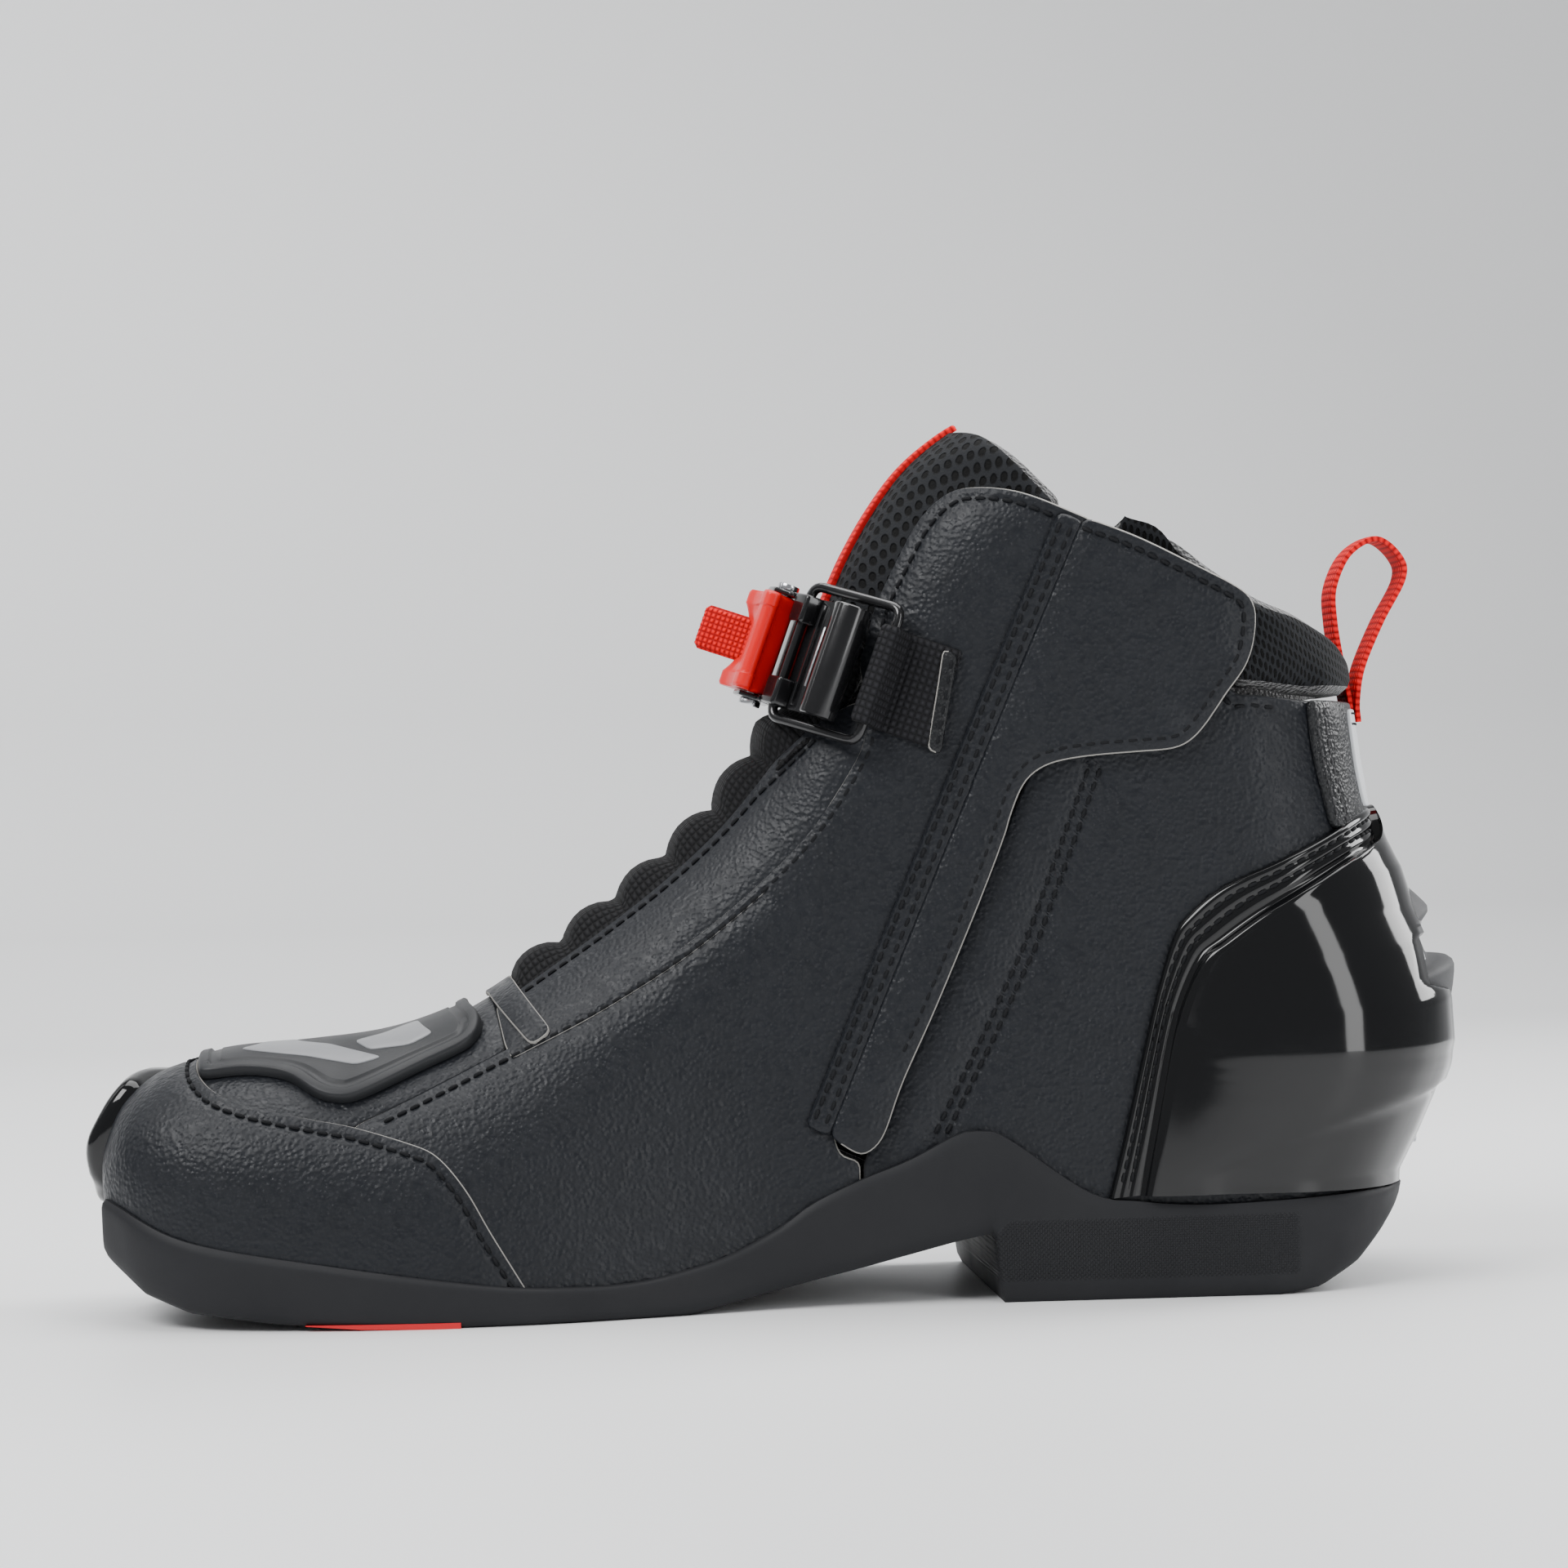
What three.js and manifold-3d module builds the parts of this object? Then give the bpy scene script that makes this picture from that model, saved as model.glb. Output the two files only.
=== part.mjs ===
// A short motorcycle riding boot for the right foot, as an assembly of its sewn and moulded pieces.
// Millimetres. +X runs from the toe to the heel, +Y to the lateral (outer) side, +Z up.
// The origin is on the floor under the middle of the heel block.
import * as THREE from "three";
import { mergeVertices } from "three/addons/utils/BufferGeometryUtils.js";
import Module from "manifold-3d";

const wasm = await Module();
wasm.setup();

// ---------------------------------------------------------------- driving dimensions
const soleLength = 293; // outsole, toe tip to heel back
const ballWidth = 96; // upper, across the ball of the foot
const bootHeight = 197; // floor to the top of the tongue
const clearance = 0.3; // between pieces that are sewn or glued face to face

const leatherThickness = 1.8;
const stiffenerThickness = 1.9;
const liningThickness = 2.0;
const randThickness = 2.8; // how far the outsole's side wall stands out from the upper
const boardThickness = 2.0;
const footbedThickness = 4.0;
const flapRise = 1.6; // room under the closure flap for the zip
const stretchRise = 1.5;
const padThickness = 2.7;
const toeSliderThickness = 5.5;
const cupFlangeThickness = 2.0;
const backstayThickness = 1.2;
const reflectorThickness = 0.8;

const zipTapeThickness = 0.8;
const zipChainGap = 1.4;
const zipSliderLength = 11;
const zipSliderWidth = 9;

const strapWidth = 22;
const webbingThickness = 1.7;
const wireRadius = 1.1;
const barrelRadius = 3.6;
const barrelWall = 1.1;
const buckleLength = 26;
const buckleEarThickness = 1.2;
const ladderThickness = 2;
const ladderRoom = 1.6; // between the instep and the ladder
const ladderWidth = 15;
const leverPinRadius = 1.4;
const pinClearance = 0.3;
const pullLoopWidth = 11;
const pullLoopThickness = 1.6;
const slotCoverThickness = 1.2;
const screwHoleRadius = 2.6;
const screwRadius = 2.3;
const rivetHeadRadius = 2.5;
const springRadius = 2.7;
const springRoomRadius = 3.1;
const springRoomHalf = 3.6;
const anchorRise = 3.4; // the ladder's anchor plate above the leather

// The outlines below are drawn for a boot of these sizes, and scale with the driving dimensions.
const DRAWN = { length: 293, width: 96, height: 197 };
const kx = soleLength / DRAWN.length;
const ky = ballWidth / DRAWN.width;
const kz = bootHeight / DRAWN.height;

// Depths of the upper's layers, measured outwards from the leather's outer surface.
const leatherInner = -leatherThickness;
const stiffenerOuter = leatherInner - clearance;
const stiffenerInner = stiffenerOuter - stiffenerThickness;
const liningOuter = stiffenerInner - clearance;
const liningInner = liningOuter - liningThickness;
const flapInner = flapRise;
const flapOuter = flapRise + leatherThickness;

// ---------------------------------------------------------------- solids and meshes
const sectionSteps = 20;
const ringSteps = 9; // from the sole or the back seam to the ridge, on each side
const wide = 90; // half-width of a cutting prism, past the boot on both sides

function toSolid(geometry) {
  const bare = (geometry.index ? geometry.toNonIndexed() : geometry).clone();
  bare.deleteAttribute("normal");
  bare.deleteAttribute("uv");
  const merged = mergeVertices(bare, 1e-4);
  return new wasm.Manifold(
    new wasm.Mesh({
      numProp: 3,
      vertProperties: merged.attributes.position.array,
      triVerts: new Uint32Array(merged.index.array),
    }),
  );
}

function toGeometry(solid) {
  const made = solid.getMesh();
  const stride = made.numProp;
  const places = new Float32Array(made.numVert * 3);
  for (let i = 0; i < made.numVert; i++) {
    places.set(made.vertProperties.subarray(i * stride, i * stride + 3), i * 3);
  }
  const geometry = new THREE.BufferGeometry();
  geometry.setAttribute("position", new THREE.BufferAttribute(places, 3));
  geometry.setIndex(new THREE.BufferAttribute(made.triVerts, 1));
  geometry.computeVertexNormals();
  return geometry;
}

// The largest body of a solid, without the slivers that a cut can leave beside it.
function largest(solid) {
  const bodies = solid.decompose();
  return bodies.reduce((best, body) => (body.volume() > best.volume() ? body : best));
}

const union = (solids) => solids.reduce((sum, solid) => sum.add(solid));
const cut = (solid, ...tools) => tools.reduce((rest, tool) => rest.subtract(tool), solid);

// A closed solid through rings of points, each ring in the same order, with flat fans at both ends.
function loft(rings) {
  const count = rings[0].length;
  const places = rings.flat(2);
  const faces = [];
  const corner = (ring, i) => ring * count + (i % count);
  for (let ring = 0; ring + 1 < rings.length; ring++) {
    for (let i = 0; i < count; i++) {
      faces.push(corner(ring, i), corner(ring + 1, i), corner(ring + 1, i + 1));
      faces.push(corner(ring, i), corner(ring + 1, i + 1), corner(ring, i + 1));
    }
  }
  [0, rings.length - 1].forEach((ring, end) => {
    const middle = rings[ring]
      .reduce((sum, point) => sum.map((v, k) => v + point[k]), [0, 0, 0])
      .map((v) => v / count);
    const hub = places.length / 3;
    places.push(...middle);
    for (let i = 0; i < count; i++) {
      const edge = [corner(ring, i), corner(ring, i + 1)];
      faces.push(hub, ...(end ? edge.reverse() : edge));
    }
  });
  const geometry = new THREE.BufferGeometry();
  geometry.setAttribute("position", new THREE.Float32BufferAttribute(places, 3));
  geometry.setIndex(faces);
  const solid = toSolid(geometry);
  if (solid.volume() > 0) return solid;
  geometry.setIndex(faces.map((_, i) => faces[i - (i % 3) + (2 - (i % 3))]));
  return toSolid(geometry);
}

// ---------------------------------------------------------------- outlines in the side view
const at = (x, z) => [x * kx, z * kz];

// A smooth run through points given as drawn, as an outline's list of points.
function curve(points, steps = 4) {
  const spline = new THREE.SplineCurve(
    points.map(([x, z]) => new THREE.Vector2(...at(x, z))),
  );
  return spline.getPoints(steps * (points.length - 1)).map((p) => [p.x, p.y]);
}

const line = (points) => points.map(([x, z]) => at(x, z));

// The solid of an outline in the side view, between two places across the boot.
function prism(outline, low = -wide, high = wide) {
  const near = 0.05;
  const kept = outline.filter(([x, z], i) => {
    const [nextX, nextZ] = outline[(i + 1) % outline.length];
    return Math.hypot(nextX - x, nextZ - z) > near;
  });
  const shape = new THREE.Shape(kept.map(([x, z]) => new THREE.Vector2(x, z)));
  const geometry = new THREE.ExtrudeGeometry(shape, {
    depth: high - low,
    bevelEnabled: false,
  });
  geometry.rotateX(Math.PI / 2);
  geometry.translate(0, high, 0);
  return toSolid(geometry);
}

const halfGap = clearance / 2;
const medial = (outline) => prism(outline, -wide, -halfGap);
const lateral = (outline) => prism(outline, halfGap, wide);

// An outline's run moved sideways by a distance: to the right of its direction if that is positive.
function beside(run, distance) {
  return run.map(([x, z], i) => {
    const [ax, az] = run[Math.max(i - 1, 0)];
    const [bx, bz] = run[Math.min(i + 1, run.length - 1)];
    const length = Math.hypot(bx - ax, bz - az);
    return [x + ((bz - az) / length) * distance, z - ((bx - ax) / length) * distance];
  });
}

// ---------------------------------------------------------------- the last: the upper's outer surface
// Each row is a flat section across the boot, from a low or back point to a ridge point, in the side
// view, with the medial, lateral and ridge half-widths, the ridge's rounding and the middle's place.
const SECTIONS = [
  { ridge: [-226.5, 27], base: [-226, -6], medial: 4, lateral: 4, top: 4, round: 4, middle: -9 },
  { ridge: [-228, 34], base: [-223, -6], medial: 13, lateral: 12, top: 11, round: 10, middle: -8.5 },
  { ridge: [-226.8, 40], base: [-218, -6], medial: 20, lateral: 18, top: 17, round: 14, middle: -8 },
  { ridge: [-223, 47.5], base: [-210, -6], medial: 27, lateral: 25, top: 24, round: 20, middle: -7.5 },
  { ridge: [-215, 53.5], base: [-199, -6], medial: 33.5, lateral: 31, top: 30, round: 26, middle: -6.5 },
  { ridge: [-201, 57], base: [-186, -6], medial: 38, lateral: 36.5, top: 35, round: 30, middle: -5 },
  { ridge: [-183, 58.2], base: [-171, -6], medial: 41.5, lateral: 41, top: 38, round: 33, middle: -3.5 },
  { ridge: [-166, 60], base: [-156, -6], medial: 44.5, lateral: 45, top: 40, round: 35, middle: -2 },
  { ridge: [-152, 64], base: [-142, -6], medial: 46, lateral: 48, top: 40, round: 36, middle: -0.5 },
  { ridge: [-140, 70], base: [-127, -6], medial: 45.5, lateral: 49, top: 38, round: 36, middle: 0.5 },
  { ridge: [-127.5, 78.5], base: [-110, -6], medial: 43, lateral: 48, top: 36, round: 35, middle: 1.5 },
  { ridge: [-115, 87.5], base: [-92, -6], medial: 39.5, lateral: 45.5, top: 34, round: 34, middle: 2 },
  { ridge: [-102.5, 97.5], base: [-72, -6], medial: 36.5, lateral: 42, top: 32.5, round: 33, middle: 2 },
  { ridge: [-91.5, 108], base: [-48, -6], medial: 36.5, lateral: 38, top: 31, round: 32, middle: 1.5 },
  { ridge: [-83, 118.5], base: [-20, -6], medial: 37, lateral: 36, top: 30, round: 31, middle: 1 },
  { ridge: [-76, 129], base: [10, -6], medial: 37.5, lateral: 35.5, top: 30, round: 30, middle: 0.5 },
  { ridge: [-70, 139.5], base: [38, -6], medial: 38, lateral: 36, top: 30, round: 30, middle: 0 },
  { ridge: [-66, 148.5], base: [59.5, 4], medial: 38.3, lateral: 36.5, top: 30, round: 30, middle: 0 },
  { ridge: [-62, 157.5], base: [64, 26], medial: 38.6, lateral: 37, top: 30.5, round: 30, middle: 0 },
  { ridge: [-57.5, 167], base: [65.3, 50], medial: 39, lateral: 38, top: 31, round: 30, middle: 0 },
  { ridge: [-51.5, 177], base: [63.3, 75], medial: 39.4, lateral: 39, top: 32, round: 30, middle: 0 },
  { ridge: [-44.5, 186], base: [60.5, 97], medial: 39.8, lateral: 40, top: 33, round: 30, middle: 0 },
  { ridge: [-36, 193], base: [57, 118], medial: 40.3, lateral: 41, top: 34, round: 30, middle: 0 },
  { ridge: [-27, 198], base: [54.5, 138], medial: 40.7, lateral: 42, top: 35, round: 30, middle: 0 },
  { ridge: [-14, 206], base: [53, 156], medial: 41, lateral: 42.5, top: 36, round: 30, middle: 0 },
];
const BACK_LINE = [
  [58, -6],
  [61, 10],
  [63.5, 22],
  [65.3, 50],
  [63.3, 75],
  [60.5, 97],
  [57, 118],
  [54.5, 138],
  [53, 156],
];
const heelRounding = 34;
const roundingPower = 2.2;
const toeRows = 4; // the first rows, whose base point moves forward with the surface

const lerp = (a, b, t) => a + (b - a) * t;
const smooth = (t) => {
  const c = Math.min(Math.max(t, 0), 1);
  return c * c * (3 - 2 * c);
};
const rounded = (distance, radius) =>
  distance >= radius
    ? 1
    : (1 - (1 - Math.max(distance, 0) / radius) ** roundingPower) ** (1 / roundingPower);

// The back of the upper at a height, before scaling.
function backAt(z) {
  const above = BACK_LINE.findIndex((point) => point[1] >= z);
  const i = above < 0 ? BACK_LINE.length - 1 : Math.max(above, 1);
  const [x0, z0] = BACK_LINE[i - 1];
  const [x1, z1] = BACK_LINE[i];
  return lerp(x0, x1, (z - z0) / (z1 - z0));
}

// A section between the rows, by a smooth curve through the rows' values.
const KEYS = ["medial", "lateral", "top", "round", "middle"];
const rowValues = SECTIONS.map((row) => [...row.ridge, ...row.base, ...KEYS.map((k) => row[k])]);
function sectionAt(s) {
  const i = Math.min(Math.floor(s), rowValues.length - 2);
  const t = s - i;
  const row = (k) => rowValues[Math.min(Math.max(k, 0), rowValues.length - 1)];
  return row(i).map((value, k) => {
    const [before, next, after] = [row(i - 1)[k], row(i + 1)[k], row(i + 2)[k]];
    return (
      value +
      0.5 *
        t *
        (next - before +
          t * (2 * before - 5 * value + 4 * next - after + t * (3 * (value - next) + after - before)))
    );
  });
}

// One closed ring of the surface that lies a distance outside the leather's outer surface.
function ring(s, outwards) {
  const [dx, dz, bx, bz, medialWidth, lateralWidth, topWidth, round, middle] = sectionAt(s);
  const [fx, fz] = sectionAt(Math.min(s + 0.5, SECTIONS.length - 1));
  const [px, pz] = sectionAt(Math.max(s - 0.5, 0));
  const along = Math.hypot(fx - px, fz - pz);
  const ridge = [dx - ((fz - pz) / along) * outwards, dz + ((fx - px) / along) * outwards];
  const toeShare = smooth(1 - s / toeRows);
  const onBack = smooth((bx - 38) / 20);
  const base = [bx + outwards * (onBack - toeShare), bz];
  const length = Math.hypot(ridge[0] - base[0], ridge[1] - base[1]);
  const side = (width, sign) => {
    const points = [];
    const fine = 72;
    for (let k = 0; k <= fine; k++) {
      const u = 0.5 - 0.5 * Math.cos((Math.PI * k) / fine);
      const x = lerp(base[0], ridge[0], u);
      const z = lerp(base[1], ridge[1], u);
      const half =
        Math.max(lerp(width, topWidth, smooth((u - 0.2) / 0.75)) + outwards, 0.4) *
        rounded(length * (1 - u), Math.max(round + outwards, 1)) *
        rounded(backAt(z) + outwards - x, heelRounding + outwards);
      points.push([x, middle + sign * Math.max(half, k === fine ? 0 : 0.3), z]);
    }
    return evenly(points, ringSteps);
  };
  const medialSide = side(medialWidth, -1);
  const lateralSide = side(lateralWidth, 1).reverse().slice(1);
  return [...medialSide, ...lateralSide].map(([x, y, z]) => [x * kx, y * ky, z * kz]);
}

// A polyline's points again, at even distances along it.
function evenly(points, steps) {
  const path = [0];
  for (let i = 1; i < points.length; i++) {
    path.push(path[i - 1] + Math.hypot(...points[i].map((v, k) => v - points[i - 1][k])));
  }
  const made = [];
  for (let j = 0, i = 1; j <= steps; j++) {
    const target = (path[path.length - 1] * j) / steps;
    while (i < points.length - 1 && path[i] < target) i++;
    const t = (target - path[i - 1]) / (path[i] - path[i - 1]);
    made.push(points[i].map((v, k) => lerp(points[i - 1][k], v, t)));
  }
  return made;
}

// Everything inside the surface that lies a distance outside the leather's outer surface.
const volumes = new Map();
function inside(outwards) {
  if (!volumes.has(outwards)) {
    const last = SECTIONS.length - 1;
    const rings = [];
    for (let i = 0; i <= sectionSteps; i++) rings.push(ring((last * i) / sectionSteps, outwards));
    volumes.set(outwards, loft(rings));
  }
  return volumes.get(outwards);
}

const layer = (outer, inner, region) => inside(outer).subtract(inside(inner)).intersect(region);

// Where the upper's surface lies across the boot at a place in the side view.
function skinAt([x, z], side, outwards = 0) {
  const spot = 0.2;
  const column = prism([
    [x - spot, z - spot],
    [x + spot, z - spot],
    [x + spot, z + spot],
    [x - spot, z + spot],
  ], side < 0 ? -wide : 0, side < 0 ? 0 : wide);
  const box = inside(outwards).intersect(column).boundingBox();
  return side < 0 ? box.min[1] : box.max[1];
}

// ---------------------------------------------------------------- seams and edges
const TOE_SEAM = [
  [-203, 68], [-207.5, 57], [-204.5, 51.3], [-195.8, 47.6], [-181.7, 44.5], [-172.9, 42.8],
  [-160.7, 39.2], [-154.6, 36.4], [-148.6, 29.3], [-143.6, 20.3], [-136.8, 8.8], [-130, -8],
];
const FACING_LINE = [
  [-139.1, 58.3], [-117.4, 69.1], [-95.4, 82.9], [-73.3, 102.1], [-60, 120.7], [-57.1, 129.7],
];
const FACING_EDGE = [
  [-140, 70.6], [-120.2, 83.4], [-107.2, 93.6], [-96, 103], [-84.8, 113.2], [-69.9, 127.4],
];
const FRONT_TOP = [
  [-57, 145.2], [-54.4, 154.2], [-49.6, 164.1], [-44, 173.9], [-38.5, 179.2], [-33.2, 180.9],
  [-22.5, 179.5], [-9, 174],
];
const REAR_TOP = [
  [4, 167.7], [13, 154], [22.6, 134.8], [27.4, 133.3], [40.3, 131.8], [70, 131.5],
];
const COLLAR_TOP = [
  [-3, 172], [9.3, 168.5], [19, 161], [29.3, 154.5], [39.4, 150.8], [49.8, 144.7], [56.5, 137.4],
];
const MEDIAL_SOLE_LINE = [
  [-232, 30], [-223.4, 26.4], [-208.4, 19.4], [-178.8, 14], [-143.8, 8.8], [-126.2, 7.6],
  [-112, 7.9], [-99.5, 10.2], [-90.5, 12.9], [-79.7, 18.2], [-72.5, 23], [-61.6, 28],
  [-50.7, 32.1], [-39.8, 37.5], [-34.4, 37.9], [-29.1, 36.3], [-11.3, 23.9], [0, 21.6],
  [16.4, 20.5], [46, 21.6], [90, 23.1],
];
const LATERAL_SOLE_LINE = [
  [-232, 30], [-223.4, 26.4], [-208.4, 19.4], [-178.8, 14], [-143.8, 10.5], [-112, 11],
  [-80, 15], [-50, 20], [-20, 22.5], [16.4, 21.5], [46, 21.6], [90, 23.1],
];
const BOARD_LINE = [
  [-240, 26], [-222, 18.5], [-208, 13.8], [-180, 8.4], [-150, 5.5], [-122, 5.2], [-95, 7.5],
  [-70, 12.5], [-40, 18], [-10, 20], [30, 20.3], [90, 20.5],
];
const GROUND_LINE = [
  [-236, 25], [-225.5, 14], [-218, 7.6], [-208.2, 3.9], [-190, 1.6], [-172, 0.3], [-160, 0],
  [-100, 0], [-81.8, 4.1], [-63.8, 8.1], [-40.4, 13.9], [-32.5, 15.5], [-31, 0], [31, 0],
  [40, 1.3], [49.5, 6], [56, 12.2], [61, 18], [90, 19],
];
const CUP_EDGE = [
  [-6.8, 22.4], [-3.5, 34.5], [1.1, 52.6], [4.9, 67], [8.9, 79.5], [12.6, 84.8], [20.3, 90.9],
  [32, 96], [44.8, 101.9], [53.7, 106.3], [75, 109.5],
];
const CUP_BULGE_EDGE = [
  [0.2, 23], [2.5, 34.5], [8, 59.8], [13.8, 74], [19.6, 79.2], [31.2, 87], [48.4, 96.4],
  [80, 101],
];
const CUP_BACK = [
  [63, 19.5], [66.5, 25], [72.1, 34.5], [75.6, 42], [79.6, 53.2], [79, 63], [75.5, 74],
  [71, 84], [68.5, 93], [64.5, 101],
];
const FIN_EDGE = [
  [58.8, 78], [61.1, 81.1], [70.8, 86.1], [75.3, 88.5], [78.1, 84.7], [77.5, 82.8],
  [71.2, 79.4], [72.9, 72.8], [82.3, 71.3], [79.9, 61.8], [72.2, 62], [59.8, 64.1],
  [57.1, 66.5], [57.5, 75.7],
];
const FIN_ROOM = [
  [58.4, 78.3], [60.9, 81.5], [70.7, 86.5], [95, 98.5], [95, 61.5], [72.2, 61.6], [59.7, 63.7],
  [56.7, 66.3], [57.1, 75.9],
];
const FLAP_HINGE = [[-69.5, 38], [-10, 173]];
const FLAP_EDGE = [
  [-61.4, 32.9], [-56.8, 36.7], [-51.9, 48.9], [-44.2, 64.8], [-35.5, 84.2], [-28.8, 100.2],
  [-25.2, 110], [-22.5, 115.4], [-17.4, 118.8], [-8.2, 120.4], [2.7, 121.1], [10.9, 121.8],
  [15.8, 125.3], [21.5, 133.4], [26.2, 140.5], [27.9, 148.6], [27.3, 154.1], [23.2, 157.8],
  [13.2, 163.4], [2.4, 169],
];
const ZIP_PATH = [[-62.5, 36], [-1, 170]];

const toeSeam = curve(TOE_SEAM, 2);
const facingLine = curve(FACING_LINE, 2);
const facingEdge = curve(FACING_EDGE, 2);
const frontTop = line(FRONT_TOP);
const rearTop = line(REAR_TOP);
const boardLine = curve(BOARD_LINE, 2);
const zipPath = line(ZIP_PATH);
const [hingeLow, hingeHigh] = line(FLAP_HINGE);

const top = 230 * kz;
const low = -12 * kz;
const above = (run, lift = 0) => [
  ...run.map(([x, z]) => [x, z + lift]),
  [run.at(-1)[0], top],
  [run[0][0], top],
];
const below = (run, lift = 0) => [
  ...run.map(([x, z]) => [x, z + lift]),
  [run.at(-1)[0], low],
  [run[0][0], low],
];
const boardBottom = clearance;
const boardTop = boardBottom + boardThickness;
const overBoard = prism(above(boardLine, boardBottom));
const overLiningBase = prism(above(boardLine, boardTop + clearance));

// ---------------------------------------------------------------- finishes
const FINISHES = {
  leather: { color: 0x2b2e33, roughness: 0.5 },
  elastic: { color: 0x1c1d20, roughness: 0.85 },
  mesh: { color: 0x18191b, roughness: 0.9 },
  lining: { color: 0x222326, roughness: 0.95 },
  rubber: { color: 0x232427, roughness: 0.8 },
  gloss: { color: 0x101114, roughness: 0.15 },
  matte: { color: 0x2f3134, roughness: 0.7 },
  red: { color: 0xb3141d, roughness: 0.45 },
  reflective: { color: 0xd3d6d8, roughness: 0.4 },
  board: { color: 0x8f8064, roughness: 0.9 },
  steel: { color: 0xb9bcc0, roughness: 0.3, metalness: 1 },
  blackMetal: { color: 0x1b1c1e, roughness: 0.35, metalness: 0.7 },
  webbing: { color: 0x1a1a1c, roughness: 0.9 },
};

const boot = new THREE.Group();
function piece(name, finish, solid, parent = boot) {
  const geometry = toGeometry(largest(solid));
  const mesh = new THREE.Mesh(geometry, new THREE.MeshStandardMaterial(FINISHES[finish]));
  mesh.name = name;
  parent.add(mesh);
}

// ---------------------------------------------------------------- the sole
const shankHalfWidth = 7;
const shankThickness = 1.2;
const insertDepth = 1.6;
const shankLine = curve([[-112, 6], [-95, 7.5], [-70, 12.5], [-40, 18], [-12, 19.9]], 3);
const band = (run, bottom, height) => [
  ...run.map(([x, z]) => [x, z + bottom]),
  ...run.map(([x, z]) => [x, z + bottom + height]).reverse(),
];
const insertOutline = line([[-184, -3], [-184, insertDepth], [-150, insertDepth], [-150, -3]]);

function makeSole() {
  const ground = line(GROUND_LINE);
  const rubber = union([
    prism(below(line(MEDIAL_SOLE_LINE)), -wide, 0),
    prism(below(line(LATERAL_SOLE_LINE)), 0, wide),
  ]).intersect(prism(above(ground)));
  const shankRoom = prism(
    band(shankLine, -shankThickness - 2 * clearance, shankThickness + 3 * clearance),
    -shankHalfWidth - clearance,
    shankHalfWidth + clearance,
  );
  const insertHalf = 30 * ky;
  const insertRoom = prism(insertOutline, -wide, insertHalf + clearance);
  const walls = inside(randThickness).intersect(rubber);
  const filled = inside(clearance).intersect(prism(above(boardLine)));
  piece("outsole", "rubber", cut(walls, filled, shankRoom, insertRoom));

  const tread = prism(
    line([[-183.7, -3], [-183.7, insertDepth - 0.3], [-150.3, insertDepth - 0.3], [-150.3, -3]]),
    -wide,
    insertHalf,
  );
  piece("tread_insert", "red", inside(randThickness).intersect(tread).intersect(prism(above(ground))));
  piece(
    "shank_plate",
    "steel",
    prism(band(shankLine, -shankThickness - clearance, shankThickness), -shankHalfWidth, shankHalfWidth),
  );
  const board = prism(band(boardLine, boardBottom, boardThickness));
  piece("insole_board", "board", inside(leatherInner - clearance).intersect(board));
  const bed = prism(band(boardLine, boardTop + clearance, footbedThickness));
  piece("footbed", "lining", inside(liningInner - clearance).intersect(bed));
}

// ---------------------------------------------------------------- the zip's own straight frame
const zipSlotHalf = 5.5;
const zipSeamFoot = at(-71, -8);
const along = [zipPath[1][0] - zipPath[0][0], zipPath[1][1] - zipPath[0][1]];
const zipSpan = Math.hypot(...along);
const zipWay = along.map((v) => v / zipSpan);
const zipBeside = (t, offset) => [
  zipPath[0][0] + zipWay[0] * t + zipWay[1] * offset,
  zipPath[0][1] + zipWay[1] * t - zipWay[0] * offset,
];
const zipBand = (from, to, start = 0, end = zipSpan) => [
  zipBeside(start, from),
  zipBeside(start, to),
  zipBeside(end, to),
  zipBeside(end, from),
];

const zipFrame = new THREE.Group();
function placeZip() {
  const point = (place) => new THREE.Vector3(place[0], skinAt(place, -1), place[1]);
  const lowEnd = point(zipBeside(zipSpan * 0.12, 0));
  const highEnd = point(zipBeside(zipSpan * 0.88, 0));
  const run = highEnd.clone().sub(lowEnd).normalize();
  const across = point(zipBeside(zipSpan / 2, 4)).sub(point(zipBeside(zipSpan / 2, -4)));
  const out = across.clone().cross(run).normalize().negate();
  if (out.y > 0) out.negate();
  const side = run.clone().cross(out).normalize();
  zipFrame.setRotationFromMatrix(new THREE.Matrix4().makeBasis(side, run, out));
  zipFrame.position.copy(lowEnd.clone().addScaledVector(run, -zipSpan * 0.12));
  zipFrame.updateMatrix();
}

// ---------------------------------------------------------------- the upper's panels
const throat = at(-141.3, 69.6);
const frontStart = at(-58.5, 143);
const flapStart = [zipBeside(zipSpan, -zipSlotHalf), zipBeside(0, -zipSlotHalf)];
const rearStart = [zipBeside(zipSpan, zipSlotHalf), zipBeside(0, zipSlotHalf)];
const toeEnd = 5; // the toe seam's point where the facing's line meets it
const lateralSplit = line([[-9, 173.6], [-33, 115], [-62, 45], [-71, -8]]);

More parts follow.
